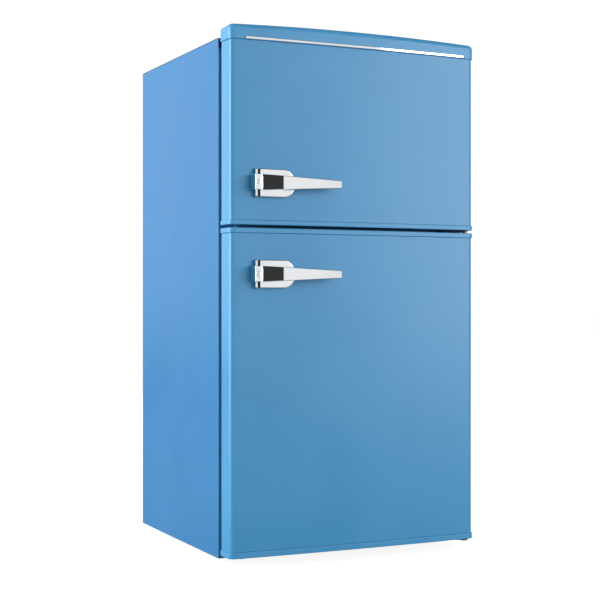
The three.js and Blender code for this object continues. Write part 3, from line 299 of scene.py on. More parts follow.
def spangle_group():
    """The crystal patches of galvanised sheet."""
    tree, given, out = shader_group("Zinc spangle", {"Scale": 90.0}, ("Height", "Mask"))
    warp = node(tree, "TexNoise", {"Vector": given["Place"], "Scale": 60.0, "Detail": 2.0})
    place = node(tree, "VectorMath", {0: warp.outputs["Color"], 1: given["Place"], 2: given["Place"]})
    place.operation = "MULTIPLY_ADD"
    cells = node(tree, "TexVoronoi", {"Vector": place.outputs["Vector"], "Scale": given["Scale"]})
    shade = node(tree, "SeparateColor", {"Color": cells.outputs["Color"]})
    tree.links.new(shade.outputs["Red"], out["Mask"])
    tree.links.new(cells.outputs["Distance"], out["Height"])
    return tree


GRAIN, WEAR, DUST = grain_group(), wear_group(), dust_group()
STREAKS, SPANGLE = streak_group(), spangle_group()
FINISHES = {}


def finish(
    slot,
    colour,
    shade,
    roughness,
    metallic=0.0,
    grain=900.0,
    bump=0.05,
    relief=0.2 * MM,
    pattern=None,
    pattern_scale=40.0,
    wear=None,
    dust=0.0,
    **sockets,
):
    """A material whose colour and roughness move between two values with its pattern."""
    made = bpy.data.materials.new(slot)
    made.use_nodes = True
    tree = made.node_tree
    shader = tree.nodes["Principled BSDF"]
    for socket, value in {"Metallic": metallic, **sockets}.items():
        shader.inputs[socket].default_value = value
    place = node(tree, "TexCoord").outputs["Object"]
    fine = node(tree, "Group", node_tree=GRAIN)
    fine.inputs["Scale"].default_value = grain
    tree.links.new(place, fine.inputs["Place"])
    height, mask = fine.outputs["Height"], fine.outputs["Mottle"]
    if pattern:
        drawn = node(tree, "Group", node_tree=pattern)
        drawn.inputs["Scale"].default_value = pattern_scale
        tree.links.new(place, drawn.inputs["Place"])
        height, mask = drawn.outputs["Height"], drawn.outputs["Mask"]
    base = blended(tree, mask, colour, shade)
    rough = remap(tree, mask, 0.0, 1.0, *roughness)
    if wear:
        worn, radius = wear
        rubbed = node(tree, "Group", node_tree=WEAR)
        rubbed.inputs["Radius"].default_value = radius
        tree.links.new(place, rubbed.inputs["Place"])
        base = blended(tree, rubbed.outputs["Mask"], base, worn)
    if dust:
        settled = node(tree, "Group", node_tree=DUST)
        tree.links.new(place, settled.inputs["Place"])
        share = times(tree, settled.outputs["Mask"], dust)
        base = blended(tree, share, base, srgb(186, 184, 178))
        rough = times(tree, rough, times(tree, share, 0.5), "ADD")
    tree.links.new(base, shader.inputs["Base Color"])
    tree.links.new(rough, shader.inputs["Roughness"])
    raised = node(tree, "Bump", {"Height": height, "Strength": bump, "Distance": relief})
    tree.links.new(raised.outputs["Normal"], shader.inputs["Normal"])
    FINISHES[slot] = made


finish(
    "blue_paint", srgb(60, 138, 186), srgb(63, 141, 189), (0.3, 0.34),
    grain=420.0, bump=0.035, wear=(srgb(64, 126, 170), 0.6 * MM), dust=0.05,
)
finish(
    "cabinet_paint", srgb(54, 113, 162), srgb(57, 116, 165), (0.34, 0.4),
    grain=420.0, bump=0.035, wear=(srgb(60, 112, 158), 0.6 * MM), dust=0.05,
    **{"Specular IOR Level": 0.13},
)
finish(
    "blue_trim", srgb(62, 140, 188), srgb(66, 144, 192), (0.3, 0.38),
    grain=1400.0, bump=0.05, wear=(srgb(120, 180, 220), 0.5 * MM), dust=0.06,
)
finish(
    "chrome", srgb(236, 238, 240), srgb(226, 229, 232), (0.035, 0.09), metallic=1.0,
    grain=260.0, bump=0.01,
)
finish(
    "hinge_steel", srgb(158, 163, 168), srgb(130, 135, 141), (0.32, 0.5), metallic=1.0,
    pattern=STREAKS, bump=0.08, wear=(srgb(210, 213, 216), 0.5 * MM), dust=0.1,
)
finish(
    "zinc_sheet", srgb(196, 200, 203), srgb(164, 170, 175), (0.34, 0.56), metallic=0.75,
    pattern=SPANGLE, pattern_scale=90.0, bump=0.06, dust=0.12,
)
finish(
    "black_steel", srgb(22, 23, 25), srgb(33, 34, 36), (0.34, 0.5),
    grain=500.0, bump=0.12, wear=(srgb(96, 94, 90), 0.8 * MM), dust=0.3,
)
finish(
    "white_liner", srgb(236, 239, 240), srgb(228, 232, 234), (0.3, 0.42),
    grain=700.0, bump=0.04, dust=0.02,
)
finish(
    "clear_plastic", srgb(249, 252, 253), srgb(243, 249, 251), (0.06, 0.16),
    grain=300.0, bump=0.02, **{"Transmission Weight": 0.92, "IOR": 1.49},
)
finish(
    "shelf_glass", srgb(246, 253, 250), srgb(240, 250, 246), (0.02, 0.06),
    grain=120.0, bump=0.005, **{"Transmission Weight": 1.0, "IOR": 1.52},
)
finish(
    "insulating_foam", srgb(226, 208, 150), srgb(204, 182, 122), (0.86, 0.98),
    grain=2400.0, bump=0.6, relief=0.4 * MM,
)
# The seal's dark navy is the colour of the shaded gap between door and cabinet: painted shade on the
# seal.
finish(
    "gasket", srgb(30, 66, 104), srgb(25, 56, 90), (0.55, 0.7),
    grain=1800.0, bump=0.12, dust=0.05,
)
finish(
    "black_rubber", srgb(26, 27, 29), srgb(38, 39, 41), (0.7, 0.88),
    grain=1500.0, bump=0.25, wear=(srgb(70, 70, 70), 0.6 * MM), dust=0.25,
)
finish(
    "dark_plastic", srgb(18, 19, 21), srgb(27, 29, 31), (0.45, 0.6),
    grain=2200.0, bump=0.3, dust=0.2,
)
finish(
    "copper_tube", srgb(190, 118, 82), srgb(128, 76, 52), (0.26, 0.5), metallic=1.0,
    grain=260.0, bump=0.05, dust=0.1,
)
finish(
    "aluminium_plate", srgb(206, 209, 212), srgb(184, 188, 192), (0.3, 0.44), metallic=1.0,
    pattern=STREAKS, bump=0.04,
)
finish(
    "coated_wire", srgb(240, 241, 240), srgb(230, 232, 232), (0.3, 0.45),
    grain=500.0, bump=0.06,
)
finish(
    "grey_plastic", srgb(186, 190, 194), srgb(174, 179, 184), (0.42, 0.56),
    grain=1900.0, bump=0.2, dust=0.08,
)

for name, cad in frame["nodes"].items():
    cad.data.materials.clear()
    cad.data.materials.append(FINISHES[SLOT_OF[name]])


# ---------- Shape tools ----------
def mesh_of(bm, name="loose"):
    """The shape as a mesh. Its bmesh is used up."""
    mesh = bpy.data.meshes.new(name)
    bm.to_mesh(mesh)
    bm.free()
    return mesh


def add_object(name, data):
    made = bpy.data.objects.new(name, data)
    bpy.context.scene.collection.objects.link(made)
    return made


def aim(bm, axis):
    """Turns a shape that points along Z to point along the axis."""
    turn = Z.rotation_difference(Vector(axis)).to_matrix()
    bmesh.ops.rotate(bm, cent=(0, 0, 0), matrix=turn, verts=bm.verts)


def scaled(profile, across=MM, along=None):
    """A profile drawn in millimetres, or in shares of a radius and a height, at its size."""
    along = across if along is None else along
    return [(radius * across, height * along) for radius, height in profile]


def block(low, high):
    """A bmesh box between two corners."""
    low, high = Vector(low), Vector(high)
    bm = bmesh.new()
    bmesh.ops.create_cube(bm, size=1.0)
    bmesh.ops.scale(bm, vec=high - low, verts=bm.verts)
    bmesh.ops.translate(bm, vec=(low + high) / 2, verts=bm.verts)
    return bm


def bevel(bm, edges, radius, segments=3, affect="EDGES"):
    bmesh.ops.bevel(
        bm,
        geom=list(edges),
        offset=radius,
        offset_type="OFFSET",
        segments=segments,
        profile=0.5,
        affect=affect,
        clamp_overlap=True,
        material=-1,
    )
    return bm


def edges_along(bm, axis, near=None):
    """Edges that run along an axis, or of those only the ones that pass near's test."""
    found = []
    for edge in bm.edges:
        run = edge.verts[1].co - edge.verts[0].co
        if run.length and abs(run.normalized().dot(axis)) > 0.999:
            if near is None or near((edge.verts[0].co + edge.verts[1].co) / 2):
                found.append(edge)
    return found


def sharp_edges(bm, near=None, angle=50):
    """Edges that turn more than the angle, or of those only the ones that pass near's test."""
    bm.normal_update()
    return [
        edge
        for edge in bm.edges
        if len(edge.link_faces) == 2
        and edge.calc_face_angle() > math.radians(angle)
        and (near is None or near((edge.verts[0].co + edge.verts[1].co) / 2))
    ]


def rounded(low, high, radius, segments=3):
    """A box with all its edges rounded."""
    bm = block(low, high)
    return bevel(bm, bm.edges, radius, segments)


def facing(bm, direction):
    """The faces that look along a direction."""
    return [face for face in bm.faces if face.normal.dot(direction) > 0.999]


def slice_up(bm, axis, places):
    """Cuts new edge loops across the piece at each place along an axis."""
    for place in places:
        geometry = bm.verts[:] + bm.edges[:] + bm.faces[:]
        bmesh.ops.bisect_plane(bm, geom=geometry, dist=1e-7, plane_co=axis * place, plane_no=axis)


def spread(low, high, count):
    """Evenly spaced places between two ends, both included."""
    return [low + (high - low) * i / (count - 1) for i in range(count)]


def turned(profile, centre, axis=Z, steps=32, ring=False):
    """A shape spun from (radius, height) points: from axis to axis, or round a hole as a ring."""
    bm = bmesh.new()
    verts = [bm.verts.new((radius, 0, height)) for radius, height in profile]
    edges = [bm.edges.new(pair) for pair in zip(verts, verts[1:] + verts[:1] * ring)]
    bmesh.ops.spin(
        bm, geom=verts + edges, cent=(0, 0, 0), axis=(0, 0, 1), angle=2 * math.pi,
        steps=steps, use_merge=True,
    )
    bmesh.ops.remove_doubles(bm, verts=bm.verts, dist=1e-6)
    bmesh.ops.recalc_face_normals(bm, faces=bm.faces)
    aim(bm, axis)
    bmesh.ops.translate(bm, vec=centre, verts=bm.verts)
    return bm


def flat_loop(bm, low, high, inset, y, corner):
    """The edges of a rounded rectangle that stands across Y."""
    made = bmesh.ops.create_grid(bm, x_segments=1, y_segments=1, size=0.5)["verts"]
    size = Vector((high.x - low.x - 2 * inset, high.z - low.z - 2 * inset, 1))
    bmesh.ops.scale(bm, vec=size, verts=made)
    bmesh.ops.rotate(bm, cent=(0, 0, 0), matrix=UPRIGHT, verts=made)
    middle = Vector(((low.x + high.x) / 2, y, (low.z + high.z) / 2))
    bmesh.ops.translate(bm, vec=middle, verts=made)
    face = made[0].link_faces[0]
    if corner > 0:
        done = bmesh.ops.bevel(
            bm, geom=made, offset=corner, offset_type="OFFSET", segments=5, profile=0.5,
            affect="VERTICES", material=-1,
        )
        face = next(f for f in {f for v in done["verts"] for f in v.link_faces})
    edges = face.edges[:]
    bmesh.ops.delete(bm, geom=[face], context="FACES_ONLY")
    return edges


def band_round(low, high, loops, corner):
    """A closed band round a rectangle, bridged through (inset, y) loops and back to the first."""
    bm = bmesh.new()
    rings = [flat_loop(bm, low, high, inset, y, max(MM, corner - inset)) for inset, y in loops]
    for first, second in zip(rings, rings[1:] + rings[:1]):
        bmesh.ops.bridge_loops(bm, edges=first + second)
    bmesh.ops.recalc_face_normals(bm, faces=bm.faces)
    return bm


def prism(points, push):
    """A flat outline pushed into a solid."""
    bm = bmesh.new()
    face = bm.faces.new([bm.verts.new(point) for point in points])
    made = bmesh.ops.extrude_face_region(bm, geom=[face])["geom"]
    moved = [item for item in made if isinstance(item, bmesh.types.BMVert)]
    bmesh.ops.translate(bm, vec=push, verts=moved)
    bmesh.ops.recalc_face_normals(bm, faces=bm.faces)
    return bm


def rod(start, end, radius, sides=12, chamfer=0.0):
    """A round bar, or a hexagon where it has six sides, between two points."""
    start, end = Vector(start), Vector(end)
    run = end - start
    bm = bmesh.new()
    bmesh.ops.create_cone(
        bm, cap_ends=True, segments=sides, radius1=radius, radius2=radius, depth=run.length
    )
    if chamfer:
        ends = facing(bm, Z) + facing(bm, -Z)
        bevel(bm, [edge for face in ends for edge in face.edges], chamfer, 2)
    aim(bm, run)
    bmesh.ops.translate(bm, vec=(start + end) / 2, verts=bm.verts)
    return bm


def bent(points, radius, steps=6):
    """A route with a round bend of the radius in place of each inner point."""
    points = [Vector(point) for point in points]
    route = [points[0]]
    for before, corner, after in zip(points, points[1:], points[2:]):
        start = corner + (before - corner).normalized() * radius
        end = corner + (after - corner).normalized() * radius
        for share in spread(0, 1, steps + 1):
            first, second = start.lerp(corner, share), corner.lerp(end, share)
            route.append(first.lerp(second, share))
    return route + [points[-1]]


def tube(points, radius, kind="POLY", closed=False):
    """A round tube or wire along a route: POLY keeps its points, BEZIER flows through them."""
    line = bpy.data.curves.new("route", "CURVE")
    line.dimensions, line.resolution_u = "3D", 8
    line.bevel_depth, line.bevel_resolution, line.use_fill_caps = radius, 2, True
    spline = line.splines.new(kind)
    spline.use_cyclic_u = closed
    if kind == "POLY":
        spline.points.add(len(points) - 1)
        for knot, point in zip(spline.points, points):
            knot.co = (*point, 1)
    else:
        spline.bezier_points.add(len(points) - 1)
        for knot, point in zip(spline.bezier_points, points):
            knot.co = point
            knot.handle_left_type = knot.handle_right_type = "AUTO"
    return from_curve(line)


def numeral(text, size, thickness):
    """A raised number, which lies in X and Y and faces +Z."""
    line = bpy.data.curves.new("number", "FONT")
    line.body, line.size, line.extrude = text, size, thickness
    line.align_x = line.align_y = "CENTER"
    return from_curve(line)


def from_curve(line):
    """A curve or a text as a bmesh of its own."""
    made = add_object("loose", line)
    shape = made.evaluated_get(bpy.context.evaluated_depsgraph_get())
    mesh = bpy.data.meshes.new_from_object(shape)
    bm = bmesh.new()
    bm.from_mesh(mesh)
    bpy.data.objects.remove(made)
    bpy.data.curves.remove(line)
    bpy.data.meshes.remove(mesh)
    bmesh.ops.remove_doubles(bm, verts=bm.verts, dist=1e-7)
    bmesh.ops.recalc_face_normals(bm, faces=bm.faces)
    return bm


def copies(bm, places):
    """The shape once at each place."""
    mesh = mesh_of(bm)
    whole = bmesh.new()
    for spot in places:
        first = len(whole.verts)
        whole.from_mesh(mesh)
        whole.verts.ensure_lookup_table()
        bmesh.ops.translate(whole, vec=spot, verts=whole.verts[first:])
    bpy.data.meshes.remove(mesh)
    return whole


def gather(*parts):
    """Several shapes in one bmesh."""
    whole = bmesh.new()
    for part in parts:
        loose = mesh_of(part)
        whole.from_mesh(loose)
        bpy.data.meshes.remove(loose)
    return whole


def carve(bm, *tools, operation="DIFFERENCE"):
    """The shape with the tools cut out of it, or joined to it."""
    loose = [add_object("loose", mesh_of(shape)) for shape in (bm, gather(*tools))]
    cut = loose[0].modifiers.new("cut", "BOOLEAN")
    cut.object, cut.operation, cut.solver = loose[1], operation, "EXACT"
    cut.use_self = len(tools) > 1
    result = bmesh.new()
    result.from_object(loose[0], bpy.context.evaluated_depsgraph_get())
    for made in loose:
        mesh = made.data
        bpy.data.objects.remove(made)
        bpy.data.meshes.remove(mesh)
    return result


def place(name, bm, slot, body, *nodes, wall=0.0, finish_name=None):
    """Turns a bmesh into a finished piece on a body, in place of the named nodes."""
    mesh = mesh_of(bm, name)
    mesh.polygons.foreach_set("use_smooth", [True] * len(mesh.polygons))
    mesh.set_sharp_from_angle(angle=math.radians(CREASE))
    made = add_object(name, mesh)
    mesh.materials.append(FINISHES[finish_name or slot])
    if wall:
        shell = made.modifiers.new("wall", "SOLIDIFY")
        shell.thickness, shell.offset = abs(wall), math.copysign(1, wall)
        shell.use_even_offset = True
    level = made.modifiers.new("flat faces stay flat", "WEIGHTED_NORMAL")
    level.keep_sharp = True
    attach(made, body)
    if nodes:
        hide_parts(*nodes)


def stand_for(node_name, bm, **options):
    """The finished piece for one node, with that node's body and slot."""
    body, slot = BODY_OF[node_name], SLOT_OF[node_name]
    place(node_name + "_finished", bm, slot, body, node_name, **options)


def screw(axis, radius=3.6 * MM):
    """A pan head screw on its washer, with a cross in its head, at the origin."""
    profile = [(0, 0), (1.5, 0), (1.5, 0.2), (1, 0.25), (1, 0.45)]
    profile += [(0.8, 0.72), (0.4, 0.84), (0, 0.86)]
    head = turned(scaled(profile, radius), (0, 0, 0), steps=16)
    arm, slot = 0.62 * radius, 0.13 * radius
    deep, over = 0.45 * radius, 2 * radius
    halves = ((arm, slot), (slot, arm))
    head = carve(head, *(block((-x, -y, deep), (x, y, over)) for x, y in halves))
    aim(head, axis)
    return head


def hex_bolt(axis, radius=5 * MM):
    """A hexagon bolt on its washer, at the origin."""
    washer = turned([(0, 0), (1.6, 0), (1.7, 0.1), (1.6, 0.2), (0, 0.2)], (0, 0, 0), steps=24)
    bmesh.ops.scale(washer, vec=(radius, radius, radius), verts=washer.verts)
    head = rod((0, 0, 0.2 * radius), (0, 0, radius), radius, sides=6, chamfer=0.12 * radius)
    whole = gather(washer, head)
    aim(whole, axis)
    return whole


# ---------- Doors ----------
def bow(bm, half, front, back):
    """Bulges a door-shaped slab: most in the middle of its front, not at all behind."""
    chord = half - DOOR_CORNER
    for vert in bm.verts:
        depth = min(1.0, max(0.0, (back - vert.co.y) / (back - front)))
        vert.co.y -= DOOR_BOW * depth * max(0.0, 1 - (vert.co.x / chord) ** 2)
    return bm


def door_slab(low, high, edge=0.0):
    """A slab with a flat back, round upright front edges and a bowed front."""
    front = low.y + DOOR_BOW
    half = (high.x - low.x) / 2
    corner = DOOR_CORNER + half - DOOR_HALF
    bm = block((low.x, front, low.z), high)
    bevel(bm, edges_along(bm, Z, lambda at: at.y < front + MM), corner, BOW_CORNER_STEPS)
    if edge:
        bevel(bm, sharp_edges(bm, lambda at: at.y < high.y - MM), edge, 3)
    chord = DOOR_HALF - DOOR_CORNER
    slice_up(bm, X, spread(-chord, chord, BOW_SLICES))
    return bow(bm, DOOR_HALF, front, high.y)


def door_skin(node_name):
    """Painted sheet wrapped round the door's front and sides."""
    low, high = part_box(node_name)
    bm = door_slab(low, high)
    hidden = [f for f in bm.faces if abs(f.normal.z) > 0.9 or f.normal.y > 0.9]
    bmesh.ops.delete(bm, geom=hidden, context="FACES")
    stand_for(node_name, bm, wall=-SHEET)


def pin_hole(low, high):
    """The hole that a hinge pin turns in, through a piece between two heights."""
    return rod((*PIVOT, low - MM), (*PIVOT, high + MM), PIN_HOLE, sides=24)


def hinge_bush(node_name, height):
    """The plastic bush that lines a hinge pin's hole, its collar on the piece's face."""
    bore, rim = PIN_HOLE - BUSH_WALL, PIN_HOLE + COLLAR_WIDTH
    profile = [(bore, -BUSH_LENGTH), (PIN_HOLE, -BUSH_LENGTH), (PIN_HOLE, 0)]
    profile += [(rim, 0), (rim, COLLAR_THICKNESS), (bore, COLLAR_THICKNESS)]
    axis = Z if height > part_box(node_name)[0].z + MM else -Z
    bush = turned(profile, (*PIVOT, height), axis, ring=True)
    place(node_name + "_hinge_bush", bush, "dark_plastic", BODY_OF[node_name])


def door_trim(node_name):
    """A moulded trim at a door's upper or lower end, with the hinge pin's hole."""
    low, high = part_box(node_name)
    slab = door_slab(low, high, edge=TRIM_EDGE)
    stand_for(node_name, carve(slab, pin_hole(low.z, high.z)))


def arch(bm, base, half):
    """Lifts the upper part of the cap towards its middle."""
    crown = max(vert.co.z for vert in bm.verts)
    for vert in bm.verts:
        share = max(0.0, (vert.co.z - base) / (crown - base))
        vert.co.z += CAP_ARCH * share * (1 - (vert.co.x / half) ** 2)


def freezer_cap():
    """The deep cap: rolled over at its upper edge, arched along it, notched for the hinge."""
    low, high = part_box("freezer_door_cap")
    strip_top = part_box("freezer_cap_strip")[1].z
    crown = high.z - CAP_ARCH
    front = low.y + DOOR_BOW
    bm = block((low.x, front, low.z), (high.x, high.y, crown))
    corner = DOOR_CORNER + TRIM_OVERHANG
    bevel(bm, edges_along(bm, Z, lambda at: at.y < front + MM), corner, BOW_CORNER_STEPS)
    bevel(bm, sharp_edges(bm, lambda at: at.z > crown - MM), CAP_ROLL, 8)
    bevel(bm, sharp_edges(bm, lambda at: at.z < low.z + MM and at.y < high.y - MM), TRIM_EDGE, 3)
    chord = DOOR_HALF - DOOR_CORNER
    slice_up(bm, X, spread(-chord, chord, BOW_SLICES))
    arch(bm, strip_top + MM, high.x)
    bow(bm, DOOR_HALF, front, high.y)
    return bm


def hinge_notch():
    """The room cut out of the cap for the top hinge and its cover."""
    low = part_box("top_hinge_cover")[0]
    cap_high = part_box("freezer_door_cap")[1]
    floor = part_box("top_hinge")[1].z - NOTCH_DEPTH
    return block((low.x - NOTCH_SIDE, low.y - NOTCH_FRONT, floor), cap_high + Vector((MM, MM, MM)))


def surface_at(x):
    """How far forward a door's painted front stands, at a place across it."""
    return DOOR_FRONT + DOOR_BOW * min(1.0, abs(x) / (DOOR_HALF - DOOR_CORNER)) ** 2


def cap_strip():
    """The bright strip that follows the cap's bow, in a shallow groove of its own."""
    low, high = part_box("freezer_cap_strip")

    def band(grow, depth):
        front = low.y + DOOR_BOW
        bm = rounded(
            (low.x - grow, front - grow, low.z - grow),
            (high.x + grow, front + depth, high.z + grow),
            STRIP_EDGE,
        )
        slice_up(bm, X, spread(low.x, high.x, BOW_SLICES)[1:-1])
        for vert in bm.verts:
            vert.co.y -= DOOR_BOW * (1 - (vert.co.x / (DOOR_HALF - DOOR_CORNER)) ** 2)
        return bm

    stand_for("freezer_cap_strip", band(0.0, STRIP_DEPTH))
    return band(STRIP_ROOM, STRIP_DEPTH + SEAT)


def gasket(node_name):
    """A bellows seal: two lips and a waist, all the way round the door."""
    low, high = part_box(node_name)
    depth, width = high.y - low.y, GASKET_WIDTH
    # Shares of the width and the depth, up the outside and back down the inside.
    outer = [(0, 0), (0, 0.2), (0.22, 0.38), (0.22, 0.5), (0.02, 0.7), (0, 0.97), (0.05, 1)]
    inner = [(1 - inset, along) for inset, along in reversed(outer)]
    loops = [(inset * width, low.y + along * depth) for inset, along in outer + inner]
    stand_for(node_name, band_round(low, high, loops, GASKET_CORNER))


# ---------- Handles ----------
def handle_plate(node_name):
    """The plate under a lever: square at the left, strongly rounded at the right; a dark inlay paints
    shade in its groove.
    """
    low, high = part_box(node_name)
    bm = block(low, (high.x, low.y + PLATE_DEPTH, high.z))
    bevel(bm, edges_along(bm, Y, lambda at: at.x > high.x - MM), PLATE_CORNER, 12)
    rim = sharp_edges(bm, lambda at: at.y < low.y + 0.1 * MM)
    square = [edge for edge in rim if edge.verts[0].co.x + edge.verts[1].co.x < 2 * low.x + MM]
    bevel(bm, [edge for edge in rim if edge not in square], PLATE_EDGE, 4)
    bevel(bm, sharp_edges(bm, lambda at: at.y < low.y + 0.1 * MM), PLATE_SQUARE_EDGE, 2)
    for vert in bm.verts:
        if vert.co.y > low.y + PLATE_EDGE + 0.1 * MM:
            vert.co.y = surface_at(vert.co.x) - SEAT
    left = low.x + GROOVE_INSET
    groove = block(
        (left, low.y - MM, low.z - MM),
        (left + GROOVE_WIDTH, low.y + GROOVE_DEPTH, high.z + MM),
    )
    stand_for(node_name, carve(bm, groove))
    # A dark strip fills the groove so that it reads black: painted shade in the groove.
    floor = low.y + GROOVE_DEPTH
    groove_shade_inlay = rounded(
        (left + GROOVE_SHADE_ROOM, floor - 0.8 * MM, low.z + SEAT),
        (left + GROOVE_WIDTH - GROOVE_SHADE_ROOM, floor + SEAT, high.z - SEAT),
        0.2 * MM,
    )
    place(node_name.replace("base", "groove_shade_inlay"), groove_shade_inlay, "dark_plastic", BODY_OF[node_name])


def roll_lines(low, crest, middle):
    """The cutters of the lines in a lever's rolled end, and the dark fills that lie in them as painted
    shade.
    """
    start, end = low.x + ROLL_RADIUS, low.x + SCOOP_START + MM
    floor = crest + LINE_DEPTH
    cutters, line_shade_fills = [], []
    for row in (-1.5, -0.5, 0.5, 1.5):
        z = middle + row * LINE_PITCH
        cutters.append(block((start, low.y - MM, z - LINE_HALF), (end, floor, z + LINE_HALF)))
        low_end = (start + LINE_CLEAR, crest + LINE_CLEAR, z - LINE_HALF + LINE_CLEAR)
        high_end = (end - LINE_CLEAR, floor, z + LINE_HALF - LINE_CLEAR)
        line_shade_fills.append(rounded(low_end, high_end, LINE_CLEAR))
    return cutters, line_shade_fills


def lever(node_name):
    """The lever: a rolled left end with grooved lines filled dark as painted shade, a scoop and a bar
    that tapers to the tip.
    """
    low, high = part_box(node_name)
    base_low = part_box(node_name.replace("lever", "base"))[0]
    middle = (low.z + high.z) / 2
    step = base_low.x - SEAT
    root = low.x + LEVER_ROOT
    crest = surface_at(root) - LEVER_PROUD
    tip = surface_at(high.x) - LEVER_TIP_PROUD

    def front(x):
        across = x - low.x
        if across < ROLL_RADIUS:
            return crest + ROLL_RADIUS - math.sqrt(ROLL_RADIUS**2 - (ROLL_RADIUS - across) ** 2)
        bar = crest + (tip - crest) * max(0.0, x - root) / (high.x - root)
        fall = max(0.0, (across - SCOOP_START) / (SCOOP_BOTTOM - SCOOP_START))
        rise = max(0.0, (SCOOP_END - across) / (SCOOP_END - SCOOP_BOTTOM))
        return bar + SCOOP_DEPTH * min(fall**SCOOP_CURVE, rise)

    def back(x):
        if x < step + 0.01 * MM:
            return surface_at(low.x) - 2 * SEAT
        if x < root - BAR_SWEEP:
            return base_low.y - SEAT
        rise = min(1.0, (x - root + BAR_SWEEP) / (2 * BAR_SWEEP))
        bar = front(x) + LEVER_BAR - (LEVER_BAR - TIP_BAR) * max(0.0, x - root) / (high.x - root)
        return base_low.y - SEAT + (bar - base_low.y + SEAT) * rise * rise * (3 - 2 * rise)

    def half_height(x):
        run = (x - low.x) / (high.x - low.x)
        taper = max(0.0, run - TAPER_START) / (1 - TAPER_START)
        return LEVER_HALF - (LEVER_HALF - TIP_HALF) * taper

    bm = block(low, (high.x, base_low.y, high.z))
    roll = [low.x + ROLL_RADIUS * (1 - math.cos(math.radians(a))) for a in (20, 40, 60, 80)]
    places = roll + [step, step + 0.05 * MM] + spread(low.x + ROLL_END, root + BAR_SWEEP, 26)
    places += spread(root + BAR_SWEEP, high.x, 8)[1:-1]
    places += [low.x + SCOOP_BOTTOM, low.x + SCOOP_END]
    slice_up(bm, X, sorted(places))
    for vert in bm.verts:
        at = vert.co
        ahead, above = at.y < base_low.y - MM, at.z > middle
        at.y = front(at.x) if ahead else back(at.x)
        at.z = middle + (half_height(at.x) if above else -half_height(at.x))
    long = sharp_edges(bm, lambda at: low.x + 0.2 * MM < at.x < high.x - 0.2 * MM, 70)
    along = [e for e in long if abs((e.verts[0].co - e.verts[1].co).normalized().x) > 0.3]
    bevel(bm, along, LEVER_EDGE, 3)
    cutters, line_shade_fills = roll_lines(low, crest, middle)
    stand_for(node_name, carve(bm, *cutters))
    # The dark fills stand for the shade inside the roll's grooves: painted shade.
    line_shade_name = node_name.replace("lever", "lines")
    place(line_shade_name, gather(*line_shade_fills), "dark_plastic", BODY_OF[node_name])


def door_liner(node_name, lowest_rack, rib_top):
    """The moulded inner panel: a sheet with two deep uprights joined by two low ledges."""
    low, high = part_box(node_name)
    rack_low, rack_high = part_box(lowest_rack)
    inner = rack_high.x + SEAT
    outer, base = inner + DYKE, rack_low.z - SEAT - DYKE
    sheet = rounded(low, (high.x, low.y + LINER, high.z), 0.6 * MM)
    bosses = [
        rounded((x, low.y + 0.5 * MM, base), (x + DYKE, high.y, rib_top), DYKE_EDGE, 4)
        for x in (-outer, inner)
    ]
    bosses += [
        rounded((-outer, low.y + 0.5 * MM, z), (outer, CABINET_FRONT, z + DYKE), DYKE_EDGE, 4)
        for z in (base, rib_top - DYKE)
    ]
    stand_for(node_name, carve(sheet, *bosses, operation="UNION"))


def tray(node_name, wall, corner, rim=0.0, draft=0.0):
    """An open-topped tray with round corners, sloping walls and a rim turned out and down."""
    low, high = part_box(node_name)
    middle = (low + high) / 2
    half = (high - low) / 2
    bm = block(low + Vector((rim, rim, 0)), high - Vector((rim, rim, 0)))
    bevel(bm, edges_along(bm, Z), corner, 6)
    bevel(bm, [edge for face in facing(bm, -Z) for edge in face.edges], corner / 2, 4)
    bmesh.ops.delete(bm, geom=facing(bm, Z), context="FACES")
    for vert in bm.verts:
        share = 1 - draft * (high.z - vert.co.z) / (high.z - low.z)
        vert.co.x = middle.x + (vert.co.x - middle.x) * share
        vert.co.y = middle.y + (vert.co.y - middle.y) * share
    lip = [edge for edge in bm.edges if edge.is_boundary]
    for out, down in ((rim, 0.0), (0.0, RIM_DROP)) if rim else ():
        made = bmesh.ops.extrude_edge_only(bm, edges=lip)["geom"]
        for vert in (item for item in made if isinstance(item, bmesh.types.BMVert)):
            vert.co.x = middle.x + (vert.co.x - middle.x) * half.x / (half.x - out)
            vert.co.y = middle.y + (vert.co.y - middle.y) * half.y / (half.y - out)
            vert.co.z -= down
        lip = [item for item in made if isinstance(item, bmesh.types.BMEdge) and item.is_boundary]
    bmesh.ops.recalc_face_normals(bm, faces=bm.faces)
    stand_for(node_name, bm, wall=-wall)


for skin in ("freezer_door_skin", "fridge_door_skin"):
    door_skin(skin)
for trim in ("freezer_door_sill", "fridge_door_head", "fridge_door_sill"):
    door_trim(trim)
cap_pin = pin_hole(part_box("top_hinge")[0].z - MM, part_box("freezer_door_cap")[1].z)
stand_for("freezer_door_cap", carve(freezer_cap(), cap_strip(), hinge_notch(), cap_pin))
hinge_bush("freezer_door_cap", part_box("top_hinge")[1].z - NOTCH_DEPTH)
hinge_bush("freezer_door_sill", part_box("freezer_door_sill")[0].z)
hinge_bush("fridge_door_head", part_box("fridge_door_head")[1].z)
hinge_bush("fridge_door_sill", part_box("fridge_door_sill")[0].z)
door_liner("freezer_door_liner", "freezer_door_rack", FREEZER_CEILING - DYKE_INSET)
door_liner("fridge_door_liner", "fridge_door_bottle_rack", FRIDGE_CEILING - DYKE_INSET)
for rack in ("freezer_door_rack", "fridge_door_can_rack", "fridge_door_bottle_rack"):
    tray(rack, RACK_WALL, corner=9 * MM, rim=1.6 * MM, draft=0.03)
for seal in ("freezer_door_gasket", "fridge_door_gasket"):
    gasket(seal)
for door in ("freezer", "fridge"):
    handle_plate(door + "_handle_base")
    lever(door + "_handle_lever")


